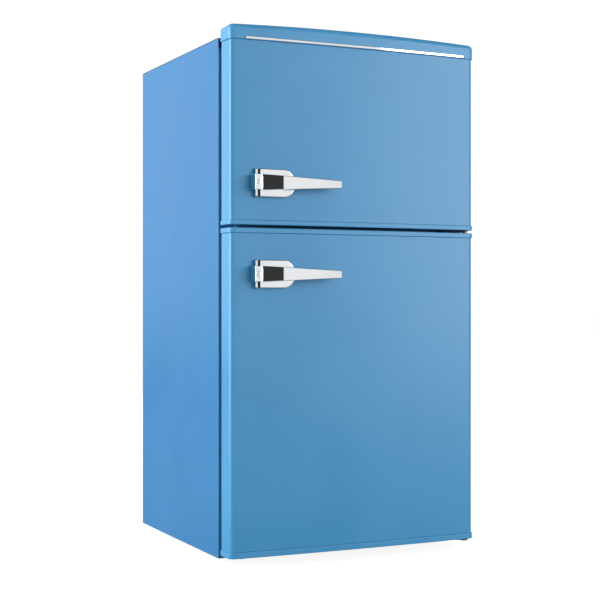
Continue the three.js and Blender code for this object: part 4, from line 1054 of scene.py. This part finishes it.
# ---------- Cabinet shell ----------
def folded_sheet(node_name, kept, finish_name=None, wall=SHEET, deeper=0.0):
    """Sheet folded over the kept sides of its node's box, its folds rounded."""
    low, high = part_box(node_name)
    bm = block(low, high + Y * deeper)
    dropped = [f for f in bm.faces if not any(f.normal.dot(side) > 0.9 for side in kept)]
    bmesh.ops.delete(bm, geom=dropped, context="FACES")
    bevel(bm, [e for e in bm.edges if len(e.link_faces) == 2], FOLD, 4)
    stand_for(node_name, bm, wall=-wall, finish_name=finish_name)


def base_plate():
    """The floor pan, folded up at the front between the side panels' flanges."""
    low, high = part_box("base_plate")
    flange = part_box("left_side_panel")[1].x
    bm = block(low, high)
    bmesh.ops.delete(bm, geom=facing(bm, Y) + facing(bm, Z), context="FACES")
    bmesh.ops.delete(bm, geom=facing(bm, X) + facing(bm, -X), context="FACES")
    bevel(bm, [edge for edge in bm.edges if len(edge.link_faces) == 2], FOLD, 4)
    slice_up(bm, X, (flange + SEAT, -flange - SEAT))
    slice_up(bm, Y, (low.y + 2 * FOLD,))
    middles = [(face, face.calc_center_median()) for face in bm.faces]
    ends = [face for face, at in middles if abs(at.x) > -flange and at.y < low.y + FOLD]
    bmesh.ops.delete(bm, geom=ends, context="FACES")
    stand_for("base_plate", bm, wall=-BASE_WALL)


def back_panel():
    """The rear sheet, with upright beads pressed into it for stiffness."""
    low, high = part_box("back_panel")
    bm = bmesh.new()
    corners = [(low.x, low.z), (high.x, low.z), (high.x, high.z), (low.x, high.z)]
    bm.faces.new([bm.verts.new((x, high.y, z)) for x, z in reversed(corners)])
    middles = spread(low.x + BEAD_MARGIN, high.x - BEAD_MARGIN, BEADS)
    reaches = (-BEAD_WIDTH, -BEAD_WIDTH / 2, BEAD_WIDTH / 2, BEAD_WIDTH)
    slice_up(bm, X, [middle + reach for middle in middles for reach in reaches])
    inner = BEAD_END + BEAD_RAMP
    ends = (low.z + BEAD_END, low.z + inner, high.z - inner, high.z - BEAD_END)
    slice_up(bm, Z, ends)
    for vert in bm.verts:
        near = min(abs(vert.co.x - m) for m in middles)
        if near < 0.6 * BEAD_WIDTH and ends[1] - MM < vert.co.z < ends[2] + MM:
            vert.co.y -= BEAD_DEPTH
    bmesh.ops.recalc_face_normals(bm, faces=bm.faces)
    if sum(face.normal.y for face in bm.faces) < 0:
        bmesh.ops.reverse_faces(bm, faces=bm.faces)
    stand_for("back_panel", bm, wall=-SHEET)
    left, right = low.x + SCREW_MARGIN, high.x - SCREW_MARGIN
    levels = spread(low.z + 12 * MM, high.z - 150 * MM, 4)
    spots = [(x, high.y, high.z - SCREW_MARGIN) for x in spread(left, right, 4)]
    spots += [(x, high.y, z) for x in (left, right) for z in levels]
    place("back_panel_screws", copies(screw(Y), spots), "hinge_steel", "cabinet")


folded_sheet("left_side_panel", (-X, -Y), "cabinet_paint")
folded_sheet("right_side_panel", (X, -Y), "cabinet_paint")
folded_sheet("top_panel", (Z, -Y), "cabinet_paint")
folded_sheet("mullion_strip", (-Y, Z, -Z), "cabinet_paint", wall=0.5 * MM, deeper=SHEET)
base_plate()
back_panel()
folded_sheet("machine_room_panel", (-Y, Z))


def hinge_arm(back, low, high):
    """A hinge's flat arm: wide at the cabinet and round at the pin."""
    right = PIVOT[0] + HINGE_END
    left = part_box("top_hinge")[0].x
    plan = [(right, back), (left, back), (left, CABINET_FRONT - ARM_TAPER)]
    plan += [(PIVOT[0] - HINGE_END, PIVOT[1])]
    plan += [
        (PIVOT[0] - HINGE_END * math.cos(turn), PIVOT[1] - HINGE_END * math.sin(turn))
        for turn in spread(0, math.pi, 13)[1:]
    ]
    bm = prism([(x, y, low) for x, y in plan], Z * (high - low))
    return bevel(bm, sharp_edges(bm), 0.35 * MM, 2)


def hinge_pin(low, high):
    return rod((*PIVOT, low), (*PIVOT, high), PIN_RADIUS, sides=24, chamfer=0.6 * MM)


def top_hinge():
    """The upper hinge and the three bolts that hold it to the cabinet's top."""
    low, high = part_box("top_hinge")
    arm = hinge_arm(high.y, high.z - HINGE_SHEET, high.z)
    stand_for("top_hinge", gather(arm, hinge_pin(low.z, high.z + 0.8 * MM)))
    spots = [(low.x + 10 * MM, high.y - back, high.z) for back in (10 * MM, 32 * MM)]
    spots += [(high.x - 8 * MM, high.y - 21 * MM, high.z)]
    place("top_hinge_bolts", copies(hex_bolt(Z), spots), "hinge_steel", "cabinet")


def bracket_hinge(name, arm_low, sheet, flange_ends, pin_low, screw_levels):
    """A hinge whose arm stands out from an upright flange, with the flange's screws."""
    low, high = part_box(name)
    face = high.y - HINGE_SHEET
    flange = rounded((low.x, face, flange_ends[0]), (high.x, high.y, flange_ends[1]), 0.5 * MM, 2)
    arm = hinge_arm(high.y, arm_low, arm_low + sheet)
    stand_for(name, gather(carve(arm, flange, operation="UNION"), hinge_pin(pin_low, high.z)))
    spots = [(x, face, z) for x in (low.x + 7 * MM, high.x - 8 * MM) for z in screw_levels]
    place(name + "_screws", copies(screw(-Y, 2.6 * MM), spots), "hinge_steel", "cabinet")


def middle_hinge():
    """The hinge in the slot between the doors, with one pin for both."""
    low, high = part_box("middle_hinge")
    bottom, top = low.z + 0.5 * MM, high.z - 0.5 * MM
    arm_low = (low.z + high.z) / 2 - 0.2 * MM
    levels = (bottom + 5 * MM, top - 5 * MM)
    bracket_hinge("middle_hinge", arm_low, MIDDLE_SHEET, (bottom, top), low.z, levels)


def lower_hinge():
    """The hinge under the fridge door, its arm along the flange's foot."""
    low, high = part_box("lower_hinge")
    top = high.z - 2 * MM
    levels = (top - 5 * MM,)
    bracket_hinge("lower_hinge", low.z, HINGE_SHEET, (low.z, top), low.z + MM, levels)


def hinge_cover():
    """The hollow cover over the upper hinge."""
    low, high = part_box("top_hinge_cover")
    bm = block(low, high)
    bevel(bm, edges_along(bm, Z), COVER_CORNER, 5)
    bevel(bm, [edge for face in facing(bm, Z) for edge in face.edges], COVER_EDGE, 4)
    bmesh.ops.delete(bm, geom=facing(bm, -Z), context="FACES")
    stand_for("top_hinge_cover", bm, wall=-COVER_WALL)


def spare_hinge_plug():
    """The plug that closes the holes for a hinge on the other side."""
    low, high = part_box("mullion_strip")
    profile = [(0, 0), (5, 0), (5, 3.6), (4.2, 4.4), (2.5, 5), (0, 5.2)]
    centre = (low.x + 15 * MM, low.y, (low.z + high.z) / 2 + 0.5 * MM)
    plug = turned(scaled(profile), centre, -Y, steps=24)
    place("spare_hinge_plug", plug, "blue_trim", "cabinet")


top_hinge()
middle_hinge()
lower_hinge()
hinge_cover()
spare_hinge_plug()


# ---------- Liners and what stands in them ----------
def freezer_side(grow, front):
    """The freezer compartment's outline (y, z) seen from the side, drawn larger by grow."""
    back, floor, ceiling = INSIDE_BACK + grow, FREEZER_FLOOR - grow, FREEZER_CEILING + grow
    return [(front, floor), (back, floor), (back, ceiling), (front, ceiling)]


def fridge_side(grow, front):
    """The fridge compartment's outline: its floor steps up over the compressor."""
    back, step, ceiling = INSIDE_BACK + grow, STEP_FRONT + grow, FRIDGE_CEILING + grow
    floor, ledge = FRIDGE_FLOOR - grow, STEP_TOP - grow
    outline = [(front, floor), (step, floor), (step, ledge)]
    return outline + [(back, ledge), (back, ceiling), (front, ceiling)]


def compartment(side, grow, front):
    """The solid of a compartment, its inner edges rounded: the step's less than the corners."""
    half = INSIDE + grow
    bm = prism([(-half, y, z) for y, z in side(grow, front)], X * 2 * half)
    step = Vector((0, STEP_FRONT + grow, STEP_TOP - grow))
    bevel(bm, sharp_edges(bm, lambda at: (at - step).length < MM), STEP_EDGE - grow, 3)
    return bevel(bm, sharp_edges(bm, lambda at: at.y > front + MM), LINER_CORNER + grow, 5)


def liner(node_name, side, *shelves):
    """A compartment's moulded shell, with its front rim and a ledge each side under each shelf."""
    low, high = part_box(node_name)
    rim = block(low, (high.x, low.y + LINER, high.z))
    shell = carve(compartment(side, LINER, low.y), rim, operation="UNION")
    shell = carve(shell, compartment(side, 0.0, low.y - 5 * MM))
    ledges = []
    for shelf in shelves:
        shelf_low, shelf_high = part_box(shelf)
        level = shelf_low.z - SEAT
        for x in (-INSIDE - LINER / 2, INSIDE - LEDGE):
            start = (x, shelf_low.y, level - LEDGE_HEIGHT)
            end = (x + LEDGE + LINER / 2, shelf_high.y + SHELF_CLEARANCE, level)
            ledges.append(rounded(start, end, 1.2 * MM, 3))
    stand_for(node_name, carve(shell, *ledges, operation="UNION"))


def glass(node_name):
    """A ground-edged glass plate with a moulded trim along its front and back."""
    low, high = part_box(node_name)
    stand_for(node_name, rounded(low, high, 0.5 * MM, 3))
    half = INSIDE - LEDGE - MM
    ends = {"front": (low.y - MM, low.y + 9 * MM), "back": (high.y - 7 * MM, high.y + MM)}
    for name, (start, end) in ends.items():
        bar = rounded((-half, start, low.z - 1.2 * MM), (half, end, high.z + TRIM_LIP), MM)
        slot = block(low - Z * 0.1 * MM, high + Z * 0.1 * MM)
        place(f"{node_name}_{name}_trim", carve(bar, slot), "grey_plastic", "cabinet")


def wire_shelf():
    """Long wires laid on two cross bars inside a round-cornered frame."""
    low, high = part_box("freezer_shelf")
    wire, middle = (high.z - low.z) / 2, (low.z + high.z) / 2
    x0, x1, y0, y1 = low.x + wire, high.x - wire, low.y + wire, high.y - wire
    corners = [(0, y0), (x0, y0), (x0, y1), (x1, y1), (x1, y0), (0, y0)]
    loop = bent([(x, y, middle) for x, y in corners], SHELF_BEND)
    frame_wire = tube(loop[:-1], wire, closed=True)
    wires = [
        tube([(x, y0, middle), (x, y1, middle)], 0.62 * wire)
        for x in spread(x0 + 14 * MM, x1 - 14 * MM, SHELF_WIRES)
    ]
    bars = [
        tube([(x0, y, middle - 0.6 * wire), (x1, y, middle - 0.6 * wire)], 0.8 * wire)
        for y in (y0 + 0.3 * (y1 - y0), y0 + 0.7 * (y1 - y0))
    ]
    stand_for("freezer_shelf", gather(frame_wire, *wires, *bars))


def evaporator():
    """A roll-bond plate: a sheet with the refrigerant's channel blown up on its front."""
    low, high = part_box("evaporator_plate")
    sheet = rounded(low, (high.x, low.y + 2 * MM, high.z), 0.6 * MM)
    left, right = low.x + CHANNEL_MARGIN, high.x - CHANNEL_MARGIN
    entry = right + 14 * MM  # where the channel comes in from above
    route = [(entry, low.y, high.z + MM)]
    for i, z in enumerate(spread(high.z - 18 * MM, low.z + 18 * MM, CHANNEL_RUNS)):
        start, end = (right, left) if i % 2 == 0 else (left, right)
        route += [(start if i else entry, low.y, z), (end, low.y, z)]
    channel = tube(bent(route, CHANNEL_BEND), CHANNEL)
    for vert in channel.verts:
        vert.co.y = low.y + 0.8 * MM + (vert.co.y - low.y) * 0.7
    levels = (low.z + POST_INSET, high.z - POST_INSET)
    corners = [(x, z) for x in (low.x + POST_INSET, high.x - POST_INSET) for z in levels]
    posts = [
        rod((x, low.y + MM, z), (x, high.y, z), 5 * MM, sides=20, chamfer=0.5 * MM)
        for x, z in corners
    ]
    stand_for("evaporator_plate", gather(sheet, channel, *posts))
    spots = [(x, low.y, z) for x, z in corners]
    place("evaporator_screws", copies(screw(-Y, 2.8 * MM), spots), "hinge_steel", "cabinet")


liner("freezer_liner", freezer_side, "freezer_shelf")
liner("fridge_liner", fridge_side, "glass_shelf", "crisper_cover")
glass("glass_shelf")
glass("crisper_cover")
wire_shelf()
evaporator()
tray("crisper_drawer", wall=2.2 * MM, corner=14 * MM, rim=5 * MM, draft=0.04)


# ---------- Thermostat, lamp and door switch ----------
def thermostat_housing():
    """The box with a lower nose, vents in its underside and room for lens and plunger."""
    low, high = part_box("thermostat_housing")
    knob_low, knob_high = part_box("thermostat_knob")
    face = knob_high.y + SEAT
    body = rounded((low.x, face, low.z), high, 2 * MM, 4)
    nose_end = (low.x + 20 * MM, face + 6 * MM, high.z)
    nose = rounded((low.x, low.y, low.z + 8 * MM), nose_end, 2 * MM, 4)
    whole = carve(body, nose, operation="UNION")
    room = Vector((SEAT, SEAT, SEAT))
    holes = []
    for node_name in ("door_switch_button", "lamp_lens"):
        start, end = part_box(node_name)
        holes.append(block(start - room, end + room))
    vent_front, vent_back = high.y - 30 * MM, high.y - 12 * MM
    vents = [
        block((x, vent_front, low.z - MM), (x + 1.6 * MM, vent_back, low.z + 2 * MM))
        for x in spread(low.x + 24 * MM, high.x - 12 * MM, 8)
    ]
    stand_for("thermostat_housing", carve(whole, *holes, *vents))
    middle, top = (knob_low.x + knob_high.x) / 2, high.z - 0.4 * MM
    mark = [(middle - MM, face, top), (middle + MM, face, top)]
    mark.append((middle, face, knob_high.z + 0.1 * MM))
    place("thermostat_mark", prism(mark, -Y * 0.4 * MM), "dark_plastic", "cabinet")


def knob_numbers(centre, radius, depth):
    """The raised numbers of the settings, round the dial's face."""
    numbers = []
    for step in range(KNOB_SETTINGS):
        angle = math.radians(FIRST_SETTING - SETTING_TURN * step)
        number = numeral(str(step + 1), 3.2 * MM, 0.15 * MM)
        bmesh.ops.rotate(number, cent=(0, 0, 0), matrix=UPRIGHT, verts=number.verts)
        out = Vector((math.cos(angle), 0, math.sin(angle)))
        bmesh.ops.translate(number, vec=centre + out * 0.73 * radius - Y * depth, verts=number.verts)
        numbers.append(number)
    return numbers


def thermostat_knob():
    """A fluted dial with a finger bar, a pointer line and the numbers of its settings."""
    low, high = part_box("thermostat_knob")
    centre = Vector(((low.x + high.x) / 2, high.y, (low.z + high.z) / 2))
    radius, depth = (high.x - low.x) / 2, high.y - low.y - 4 * MM
    profile = [(0, 0), (radius, 0), (radius, KNOB_SKIRT), (0.95 * radius, KNOB_SKIRT + 0.5 * MM)]
    profile += [(0.92 * radius, depth - MM), (0.88 * radius, depth), (0, depth)]
    dial = turned(profile, centre, -Y, steps=48)
    flutes = []
    for angle in spread(0, 2 * math.pi, KNOB_FLUTES + 1)[:-1]:
        rim = centre + Vector((math.cos(angle), 0, math.sin(angle))) * 0.97 * radius
        flutes.append(rod(rim - Y * 3.2 * MM, rim - Y * (depth + MM), 0.8 * MM, sides=8))
    dial = carve(dial, *flutes)
    bar_top, bar_low = centre.z + 0.55 * radius, centre.z - 0.55 * radius
    half, back = 2.2 * MM, centre.y - depth + MM
    bar = rounded((centre.x - half, low.y, bar_low), (centre.x + half, back, bar_top), 1.2 * MM)
    stand_for("thermostat_knob", carve(dial, bar, operation="UNION"))
    line = 0.4 * MM
    pointer = block(
        (centre.x - line, low.y - 0.05 * MM, centre.z),
        (centre.x + line, low.y + line, bar_top - 1.6 * MM),
    )
    marks = gather(pointer, *knob_numbers(centre, radius, depth))
    place("thermostat_numbers", marks, "dark_plastic", "knob")


def lamp():
    """A small bulb behind its ribbed lens."""
    low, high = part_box("lamp_lens")
    bm = block(low, high)
    bmesh.ops.delete(bm, geom=facing(bm, X), context="FACES")
    bevel(bm, [edge for edge in bm.edges if len(edge.link_faces) == 2], 1.5 * MM, 3)
    loops = spread(low.y + 4 * MM, high.y - 4 * MM, 23)
    slice_up(bm, Y, loops)
    for vert in bm.verts:
        outer = vert.co.x < low.x + 0.1 * MM
        if outer and min(abs(vert.co.y - y) for y in loops[1::2]) < 0.1 * MM:
            vert.co.x += 0.5 * MM
    stand_for("lamp_lens", bm, wall=-1.2 * MM)
    bulb_x, middle = low.x + 7.5 * MM, (low.z + high.z) / 2
    shape = [(0, 0), (3, 0), (3, 7), (3.4, 9), (4.6, 13), (5, 17), (4.4, 21), (2.6, 23.6), (0, 24.4)]
    bulb = turned(scaled(shape), (bulb_x, high.y - 4 * MM, middle), -Y)
    place("lamp_bulb", bulb, "shelf_glass", "cabinet")
    shape = [(0, 0), (4, 0), (4, 6), (3.2, 7), (0, 7)]
    socket = turned(scaled(shape), (bulb_x, high.y - 1.6 * MM, middle), -Y)
    place("lamp_socket", socket, "hinge_steel", "cabinet")


def switch_button():
    """The plunger that the fridge door presses."""
    low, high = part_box("door_switch_button")
    stand_for("door_switch_button", rounded(low, high, 1.2 * MM, 3))


thermostat_housing()
thermostat_knob()
lamp()
switch_button()


# ---------- Compressor space ----------
def compressor():
    """A welded can on a pressed mount plate, held by four bolts on rubber grommets."""
    low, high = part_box("compressor")
    middle = (low + high) / 2
    can_low = low.z + MOUNT_PLATE - MM
    height, radius = high.z - can_low, (high.y - low.y) / 2 - CAN_SEAM
    seam, lid = 0.52 * height, radius - MM
    profile = [(0, 0), (radius - 14 * MM, 0), (radius - 7 * MM, 1.5 * MM), (radius - 2 * MM, 6 * MM)]
    profile += [(radius, 13 * MM), (radius, seam - 3 * MM), (radius + CAN_SEAM, seam - 2.2 * MM)]
    profile += [(radius + CAN_SEAM, seam + 2.2 * MM), (lid + 0.8 * MM, seam + 2.4 * MM)]
    profile += [(lid, seam + 4.5 * MM)]
    profile += [
        (lid - CAN_ROUND * (1 - math.cos(turn)), height - CAN_ROUND * (1 - math.sin(turn)))
        for turn in spread(0, math.radians(80), 9)
    ]
    profile += [(0, height)]
    can = turned(profile, (0, 0, 0), steps=72)
    bmesh.ops.scale(can, vec=(CAN_STRETCH, 1, 1), verts=can.verts)
    bmesh.ops.translate(can, vec=(middle.x, middle.y, can_low), verts=can.verts)
    reach = radius - 4 * MM
    plate = block((low.x, middle.y - reach, low.z), (high.x, middle.y + reach, low.z + MOUNT_PLATE))
    bevel(plate, edges_along(plate, Z), 12 * MM, 6)
    bevel(plate, sharp_edges(plate), 0.8 * MM, 2)
    stand_for("compressor", carve(can, plate, operation="UNION"))
    x, y, z = middle.x - radius * CAN_STRETCH * 0.9, middle.y - 22 * MM, can_low + 52 * MM
    elbow = x - 14 * MM
    process = tube(bent([(x, y, z), (elbow, y, z), (elbow, y, z + 22 * MM)], 6 * MM), TUBE)
    place("process_tube", process, "copper_tube", "cabinet")
    return middle, can_low, radius


def grommets():
    """Ribbed rubber grommets under the mount plate, and the bolts that go through them."""
    plate_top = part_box("compressor")[0].z + MOUNT_PLATE
    shape = [(0, 0), (1, 0), (1, 0.16), (0.9, 0.24), (0.9, 0.3), (0.98, 0.38), (0.9, 0.46)]
    shape += [(0.9, 0.54), (0.98, 0.62), (0.9, 0.7), (0.86, 0.8), (0.92, 0.9), (0.86, 1), (0, 1)]
    spots = []
    for i in range(1, 5):
        low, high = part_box(f"compressor_grommet_{i}")
        x, y = (low.x + high.x) / 2, (low.y + high.y) / 2
        profile = scaled(shape, (high.x - low.x) / 2, high.z - low.z)
        stand_for(f"compressor_grommet_{i}", turned(profile, (x, y, low.z)))
        spots.append((x, y, plate_top))
    place("compressor_bolts", copies(hex_bolt(Z, 4.2 * MM), spots), "hinge_steel", "cabinet")


def relay_cover():
    """The box over the terminals, with cooling ribs and the wire bail that holds it."""
    low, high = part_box("relay_cover")
    body = rounded(low, high, 4 * MM, 4)
    grooves = [
        block((low.x - MM, y, low.z + 24 * MM), (low.x + 1.2 * MM, y + 2 * MM, high.z - 8 * MM))
        for y in spread(low.y + 9 * MM, high.y - 11 * MM, 6)
    ]
    stand_for("relay_cover", carve(body, *grooves))
    across, end, z = low.x - 1.2 * MM, high.x + 3 * MM, low.z + 16 * MM
    front, back = low.y - 1.6 * MM, high.y + 1.6 * MM
    bail = bent([(end, front, z), (across, front, z), (across, back, z), (end, back, z)], 4 * MM)
    place("relay_cover_bail", tube(bail, 1.1 * MM), "hinge_steel", "cabinet")


def cord_gland():
    """The ribbed sleeve that would hold the mains lead."""
    low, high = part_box("cord_gland")
    centre = ((low.x + high.x) / 2, low.y, (low.z + high.z) / 2)
    shape = [(0.48, 0), (1, 0), (1, 0.18), (0.82, 0.22), (0.82, 0.34), (0.95, 0.4), (0.9, 0.52)]
    shape += [(0.8, 0.55), (0.84, 0.64), (0.72, 0.68), (0.76, 0.78), (0.66, 0.82), (0.66, 1), (0.48, 1)]
    profile = scaled(shape, (high.x - low.x) / 2, high.y - low.y)
    stand_for("cord_gland", turned(profile, centre, Y, ring=True))


def condenser():
    """Upright runs of tube behind the foam. Returns the place of its lower right end."""
    low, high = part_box("condenser_coil")
    y, side = (low.y + high.y) / 2, high.x - TUBE
    top, low_bend = high.z - TUBE, low.z + 34 * MM
    route = [(-side, y, low.z)]
    for run, x in enumerate(spread(-side, side, COIL_RUNS)):
        ends = (low_bend, top) if run % 2 == 0 else (top, low_bend)
        route += [(x, y, end) for end in ends]
    route[-1] = (side, y, low.z)
    stand_for("condenser_coil", tube(bent(route[:1] + route[2:], COIL_BEND), TUBE))
    return route[-1]


def filter_drier():
    """The drier: a drawn copper body with a narrow neck at each end. Returns its lower end."""
    low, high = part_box("filter_drier")
    tall = high.z - low.z
    shape = [(0, 0), (2, 0), (2, 12), (2.6, 14), (4.4, 17), (6, 21), (6, 30), (6.3, 31), (6, 32)]
    profile = scaled(shape)
    profile += [(6 * MM, tall - 19 * MM), (4.6 * MM, tall - 14 * MM), (2.8 * MM, tall - 11 * MM)]
    profile += [(2.6 * MM, tall), (0, tall)]
    foot = ((low.x + high.x) / 2, (low.y + high.y) / 2, low.z)
    stand_for("filter_drier", turned(profile, foot))
    return foot


def refrigerant_tubes(middle, can_low, radius):
    """Discharge to the condenser, suction back, and the drier with its capillary."""
    side, y, coil_end = condenser()
    half = radius * CAN_STRETCH
    start = middle.x + half + SEAT
    stand_for("discharge_tube", tube([
        (start, middle.y + 12 * MM, can_low + 42 * MM),
        (start + 20 * MM, middle.y + 12 * MM, can_low + 42 * MM),
        (side - 6 * MM, middle.y + 34 * MM, can_low + 60 * MM),
        (side, y - 6 * MM, coil_end - 34 * MM),
        (side, y, coil_end - SEAT),
    ], TUBE, "BEZIER"))

    room_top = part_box("machine_room_panel")[1].z
    relay_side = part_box("relay_cover")[0].x
    end_y = middle.y + 12 * MM - radius
    x, back = middle.x - half - 60 * MM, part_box("suction_tube")[1].y - TUBE - MM
    stand_for("suction_tube", tube([
        (x, back, room_top + 18 * MM),
        (x, back, room_top - 40 * MM),
        (x, back, can_low + 50 * MM),
        (x + 14 * MM, end_y + 2 * MM, can_low + 26 * MM),
        (relay_side + 8 * MM, end_y, can_low + 22 * MM),
        (middle.x - half * 0.78, end_y, can_low + 22 * MM),
    ], TUBE, "BEZIER"))

    drier_x, drier_y, drier_low = filter_drier()
    coil_x, coil_y, coil_low = drier_x + 34 * MM, drier_y - 52 * MM, drier_low - 22 * MM
    capillary = [(drier_x, drier_y, drier_low + 2 * MM)]
    capillary += [(drier_x, drier_y - 2 * MM, drier_low - 12 * MM)]
    capillary += [(drier_x + 4 * MM, drier_y - 24 * MM, coil_low)]
    for turn in spread(0.5, 0.5 + CAPILLARY_LOOPS, 12 * CAPILLARY_LOOPS + 1):
        angle = 2 * math.pi * turn
        across, along = LOOP_RADIUS * math.cos(angle), LOOP_RADIUS * math.sin(angle)
        capillary.append((coil_x + across, coil_y + along, coil_low + LOOP_PITCH * turn))
    capillary += [(drier_x + 30 * MM, drier_y - 80 * MM, drier_low + 30 * MM)]
    capillary += [(x - 6 * MM, back + 4 * MM, room_top - 30 * MM), (x - 3.8 * MM, back, room_top + MM)]
    place("capillary_tube", tube(capillary, CAPILLARY, "BEZIER"), "copper_tube", "cabinet")


def drain():
    """The drain tray, and the tube that leads the melted frost to it."""
    tray("drain_tray", wall=1.8 * MM, corner=10 * MM, rim=2 * MM, draft=0.06)
    low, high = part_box("drain_tube")
    shape = [(0.75, 0), (0.85, 0), (0.88, 0.02), (0.88, 0.9), (1, 0.92), (1, 1), (0.75, 1)]
    profile = scaled(shape, (high.x - low.x) / 2, high.z - low.z)
    centre = ((low.x + high.x) / 2, (low.y + high.y) / 2, low.z)
    stand_for("drain_tube", turned(profile, centre, ring=True))


can = compressor()
grommets()
refrigerant_tubes(*can)
relay_cover()
cord_gland()
drain()


# ---------- Feet ----------
def levelling_foot(node_name):
    """A ribbed pad and a hexagon on a threaded stem."""
    low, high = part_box(node_name)
    x, y = (low.x + high.x) / 2, (low.y + high.y) / 2
    rim, top = (high.x - low.x) / 2 / MM, (high.z - low.z) / MM
    pad = [(0, 0.6), (rim - 4, 0.6), (rim - 3.4, 0), (rim - 1, 0), (rim, 1)]
    pad += [(rim, 4.6), (rim - 0.8, 5.6), (rim - 2.5, 6), (0, 6)]
    base = turned(scaled(pad), (x, y, low.z), steps=40)
    ends = [(x, y, low.z + up) for up in (5.5 * MM, 10.5 * MM)]
    hexagon = rod(*ends, 7 * MM, sides=6, chamfer=0.5 * MM)
    teeth = [(0, 10), (3.4, 10)]
    for step in range(THREAD_TURNS):
        height = THREAD_START + step * THREAD_PITCH
        teeth += [(4, height), (3.4, height + THREAD_PITCH / 2)]
    teeth += [(3, top), (0, top)]
    stem = turned(scaled(teeth), (x, y, low.z), steps=20)
    stand_for(node_name, gather(base, hexagon, stem))


def rear_foot(node_name):
    """A plain foot with a hollow in its sole."""
    low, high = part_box(node_name)
    shape = [(0, 0.12), (0.4, 0.12), (0.5, 0), (0.86, 0), (0.92, 0.08), (1, 0.84), (0.94, 1), (0, 1)]
    profile = scaled(shape, (high.x - low.x) / 2, high.z - low.z)
    centre = ((low.x + high.x) / 2, (low.y + high.y) / 2, low.z)
    stand_for(node_name, turned(profile, centre))


for end in ("left", "right"):
    levelling_foot("front_foot_" + end)
for end in ("left", "right"):
    rear_foot("rear_foot_" + end)


# ---------- Camera, floor and light ----------
CAMERA_PLACE = Vector((-1.01005, -2.13084, 0.424))
CAMERA_TURN = 25.17
CAMERA_LENS = 80.18  # in millimetres, on a film 36 wide
SUBJECT = Vector((0, 0, 0.43))
FLOOR_GLOW = 0.9  # the floor shows white, with only a faint shadow under the cabinet
BACKDROP = 1.05  # strength of the white surroundings as the camera sees them
AMBIENT = 0.48  # as they light the piece
AMBIENT_MIRRORED = 0.04  # as bright metal mirrors them


def camera():
    lens = bpy.data.cameras.new("camera")
    lens.lens, lens.sensor_width, lens.clip_end = CAMERA_LENS, 36, 60
    made = add_object("camera", lens)
    made.location = CAMERA_PLACE
    made.rotation_euler = (math.radians(90), 0, math.radians(-CAMERA_TURN))
    bpy.context.scene.camera = made


def softbox(name, azimuth, distance, height, size, power, mirrored=True):
    """A soft lamp round the subject. Azimuth 0 is straight ahead of the doors, 90 is to the right."""
    lamp = bpy.data.lights.new(name, "AREA")
    lamp.shape, lamp.size, lamp.size_y = "RECTANGLE", size[0], size[1]
    lamp.energy = power
    made = add_object(name, lamp)
    angle = math.radians(azimuth)
    made.location = (distance * math.sin(angle), -distance * math.cos(angle), height)
    made.rotation_euler = (SUBJECT - made.location).to_track_quat("-Z", "Y").to_euler()
    made.visible_camera, made.visible_glossy = False, mirrored


def pale_floor():
    """A wide pale floor. The camera sees it glow; it lights nothing."""
    bm = bmesh.new()
    bmesh.ops.create_grid(bm, x_segments=1, y_segments=1, size=40)
    made = add_object("floor", mesh_of(bm, "floor"))
    pale = bpy.data.materials.new("pale_floor")
    pale.use_nodes = True
    tree = pale.node_tree
    surface = tree.nodes["Principled BSDF"].inputs
    surface["Base Color"].default_value = (0.26, 0.26, 0.26, 1)
    surface["Roughness"].default_value = 1.0
    surface["Emission Color"].default_value = (1, 1, 1, 1)
    seen = node(tree, "LightPath").outputs["Is Camera Ray"]
    tree.links.new(times(tree, seen, FLOOR_GLOW), surface["Emission Strength"])
    made.data.materials.append(pale)


def surroundings():
    """White all round: bright to the camera, softer as light, dark in mirroring metal."""
    world = bpy.data.worlds.new("studio")
    world.use_nodes = True
    bpy.context.scene.world = world
    tree = world.node_tree
    around = tree.nodes["Background"].inputs
    ray = node(tree, "LightPath").outputs
    lit = remap(tree, ray["Is Glossy Ray"], 0.0, 1.0, AMBIENT, AMBIENT_MIRRORED)
    strength = node(tree, "Mix", {"Factor": ray["Is Camera Ray"], "A": lit, "B": BACKDROP})
    around["Color"].default_value = (1, 1, 1, 1)
    tree.links.new(strength.outputs["Result"], around["Strength"])


camera()
pale_floor()
surroundings()
softbox("key", 39.5, 3.2, 1.0, (1.2, 2.0), 33)
softbox("key_edge", 18.5, 3.2, 1.2, (1.15, 2.2), 7.2)
softbox("fill", -99, 3.0, 1.0, (1.8, 2.2), 134)
softbox("rim", -154, 3.2, 1.5, (1.7, 2.6), 17)
softbox("behind", 168, 3.4, 1.3, (1.4, 2.2), 34)
softbox("front", 10, 3.2, 1.0, (2.0, 2.0), 34, mirrored=False)
bpy.context.scene.view_settings.view_transform = "Standard"
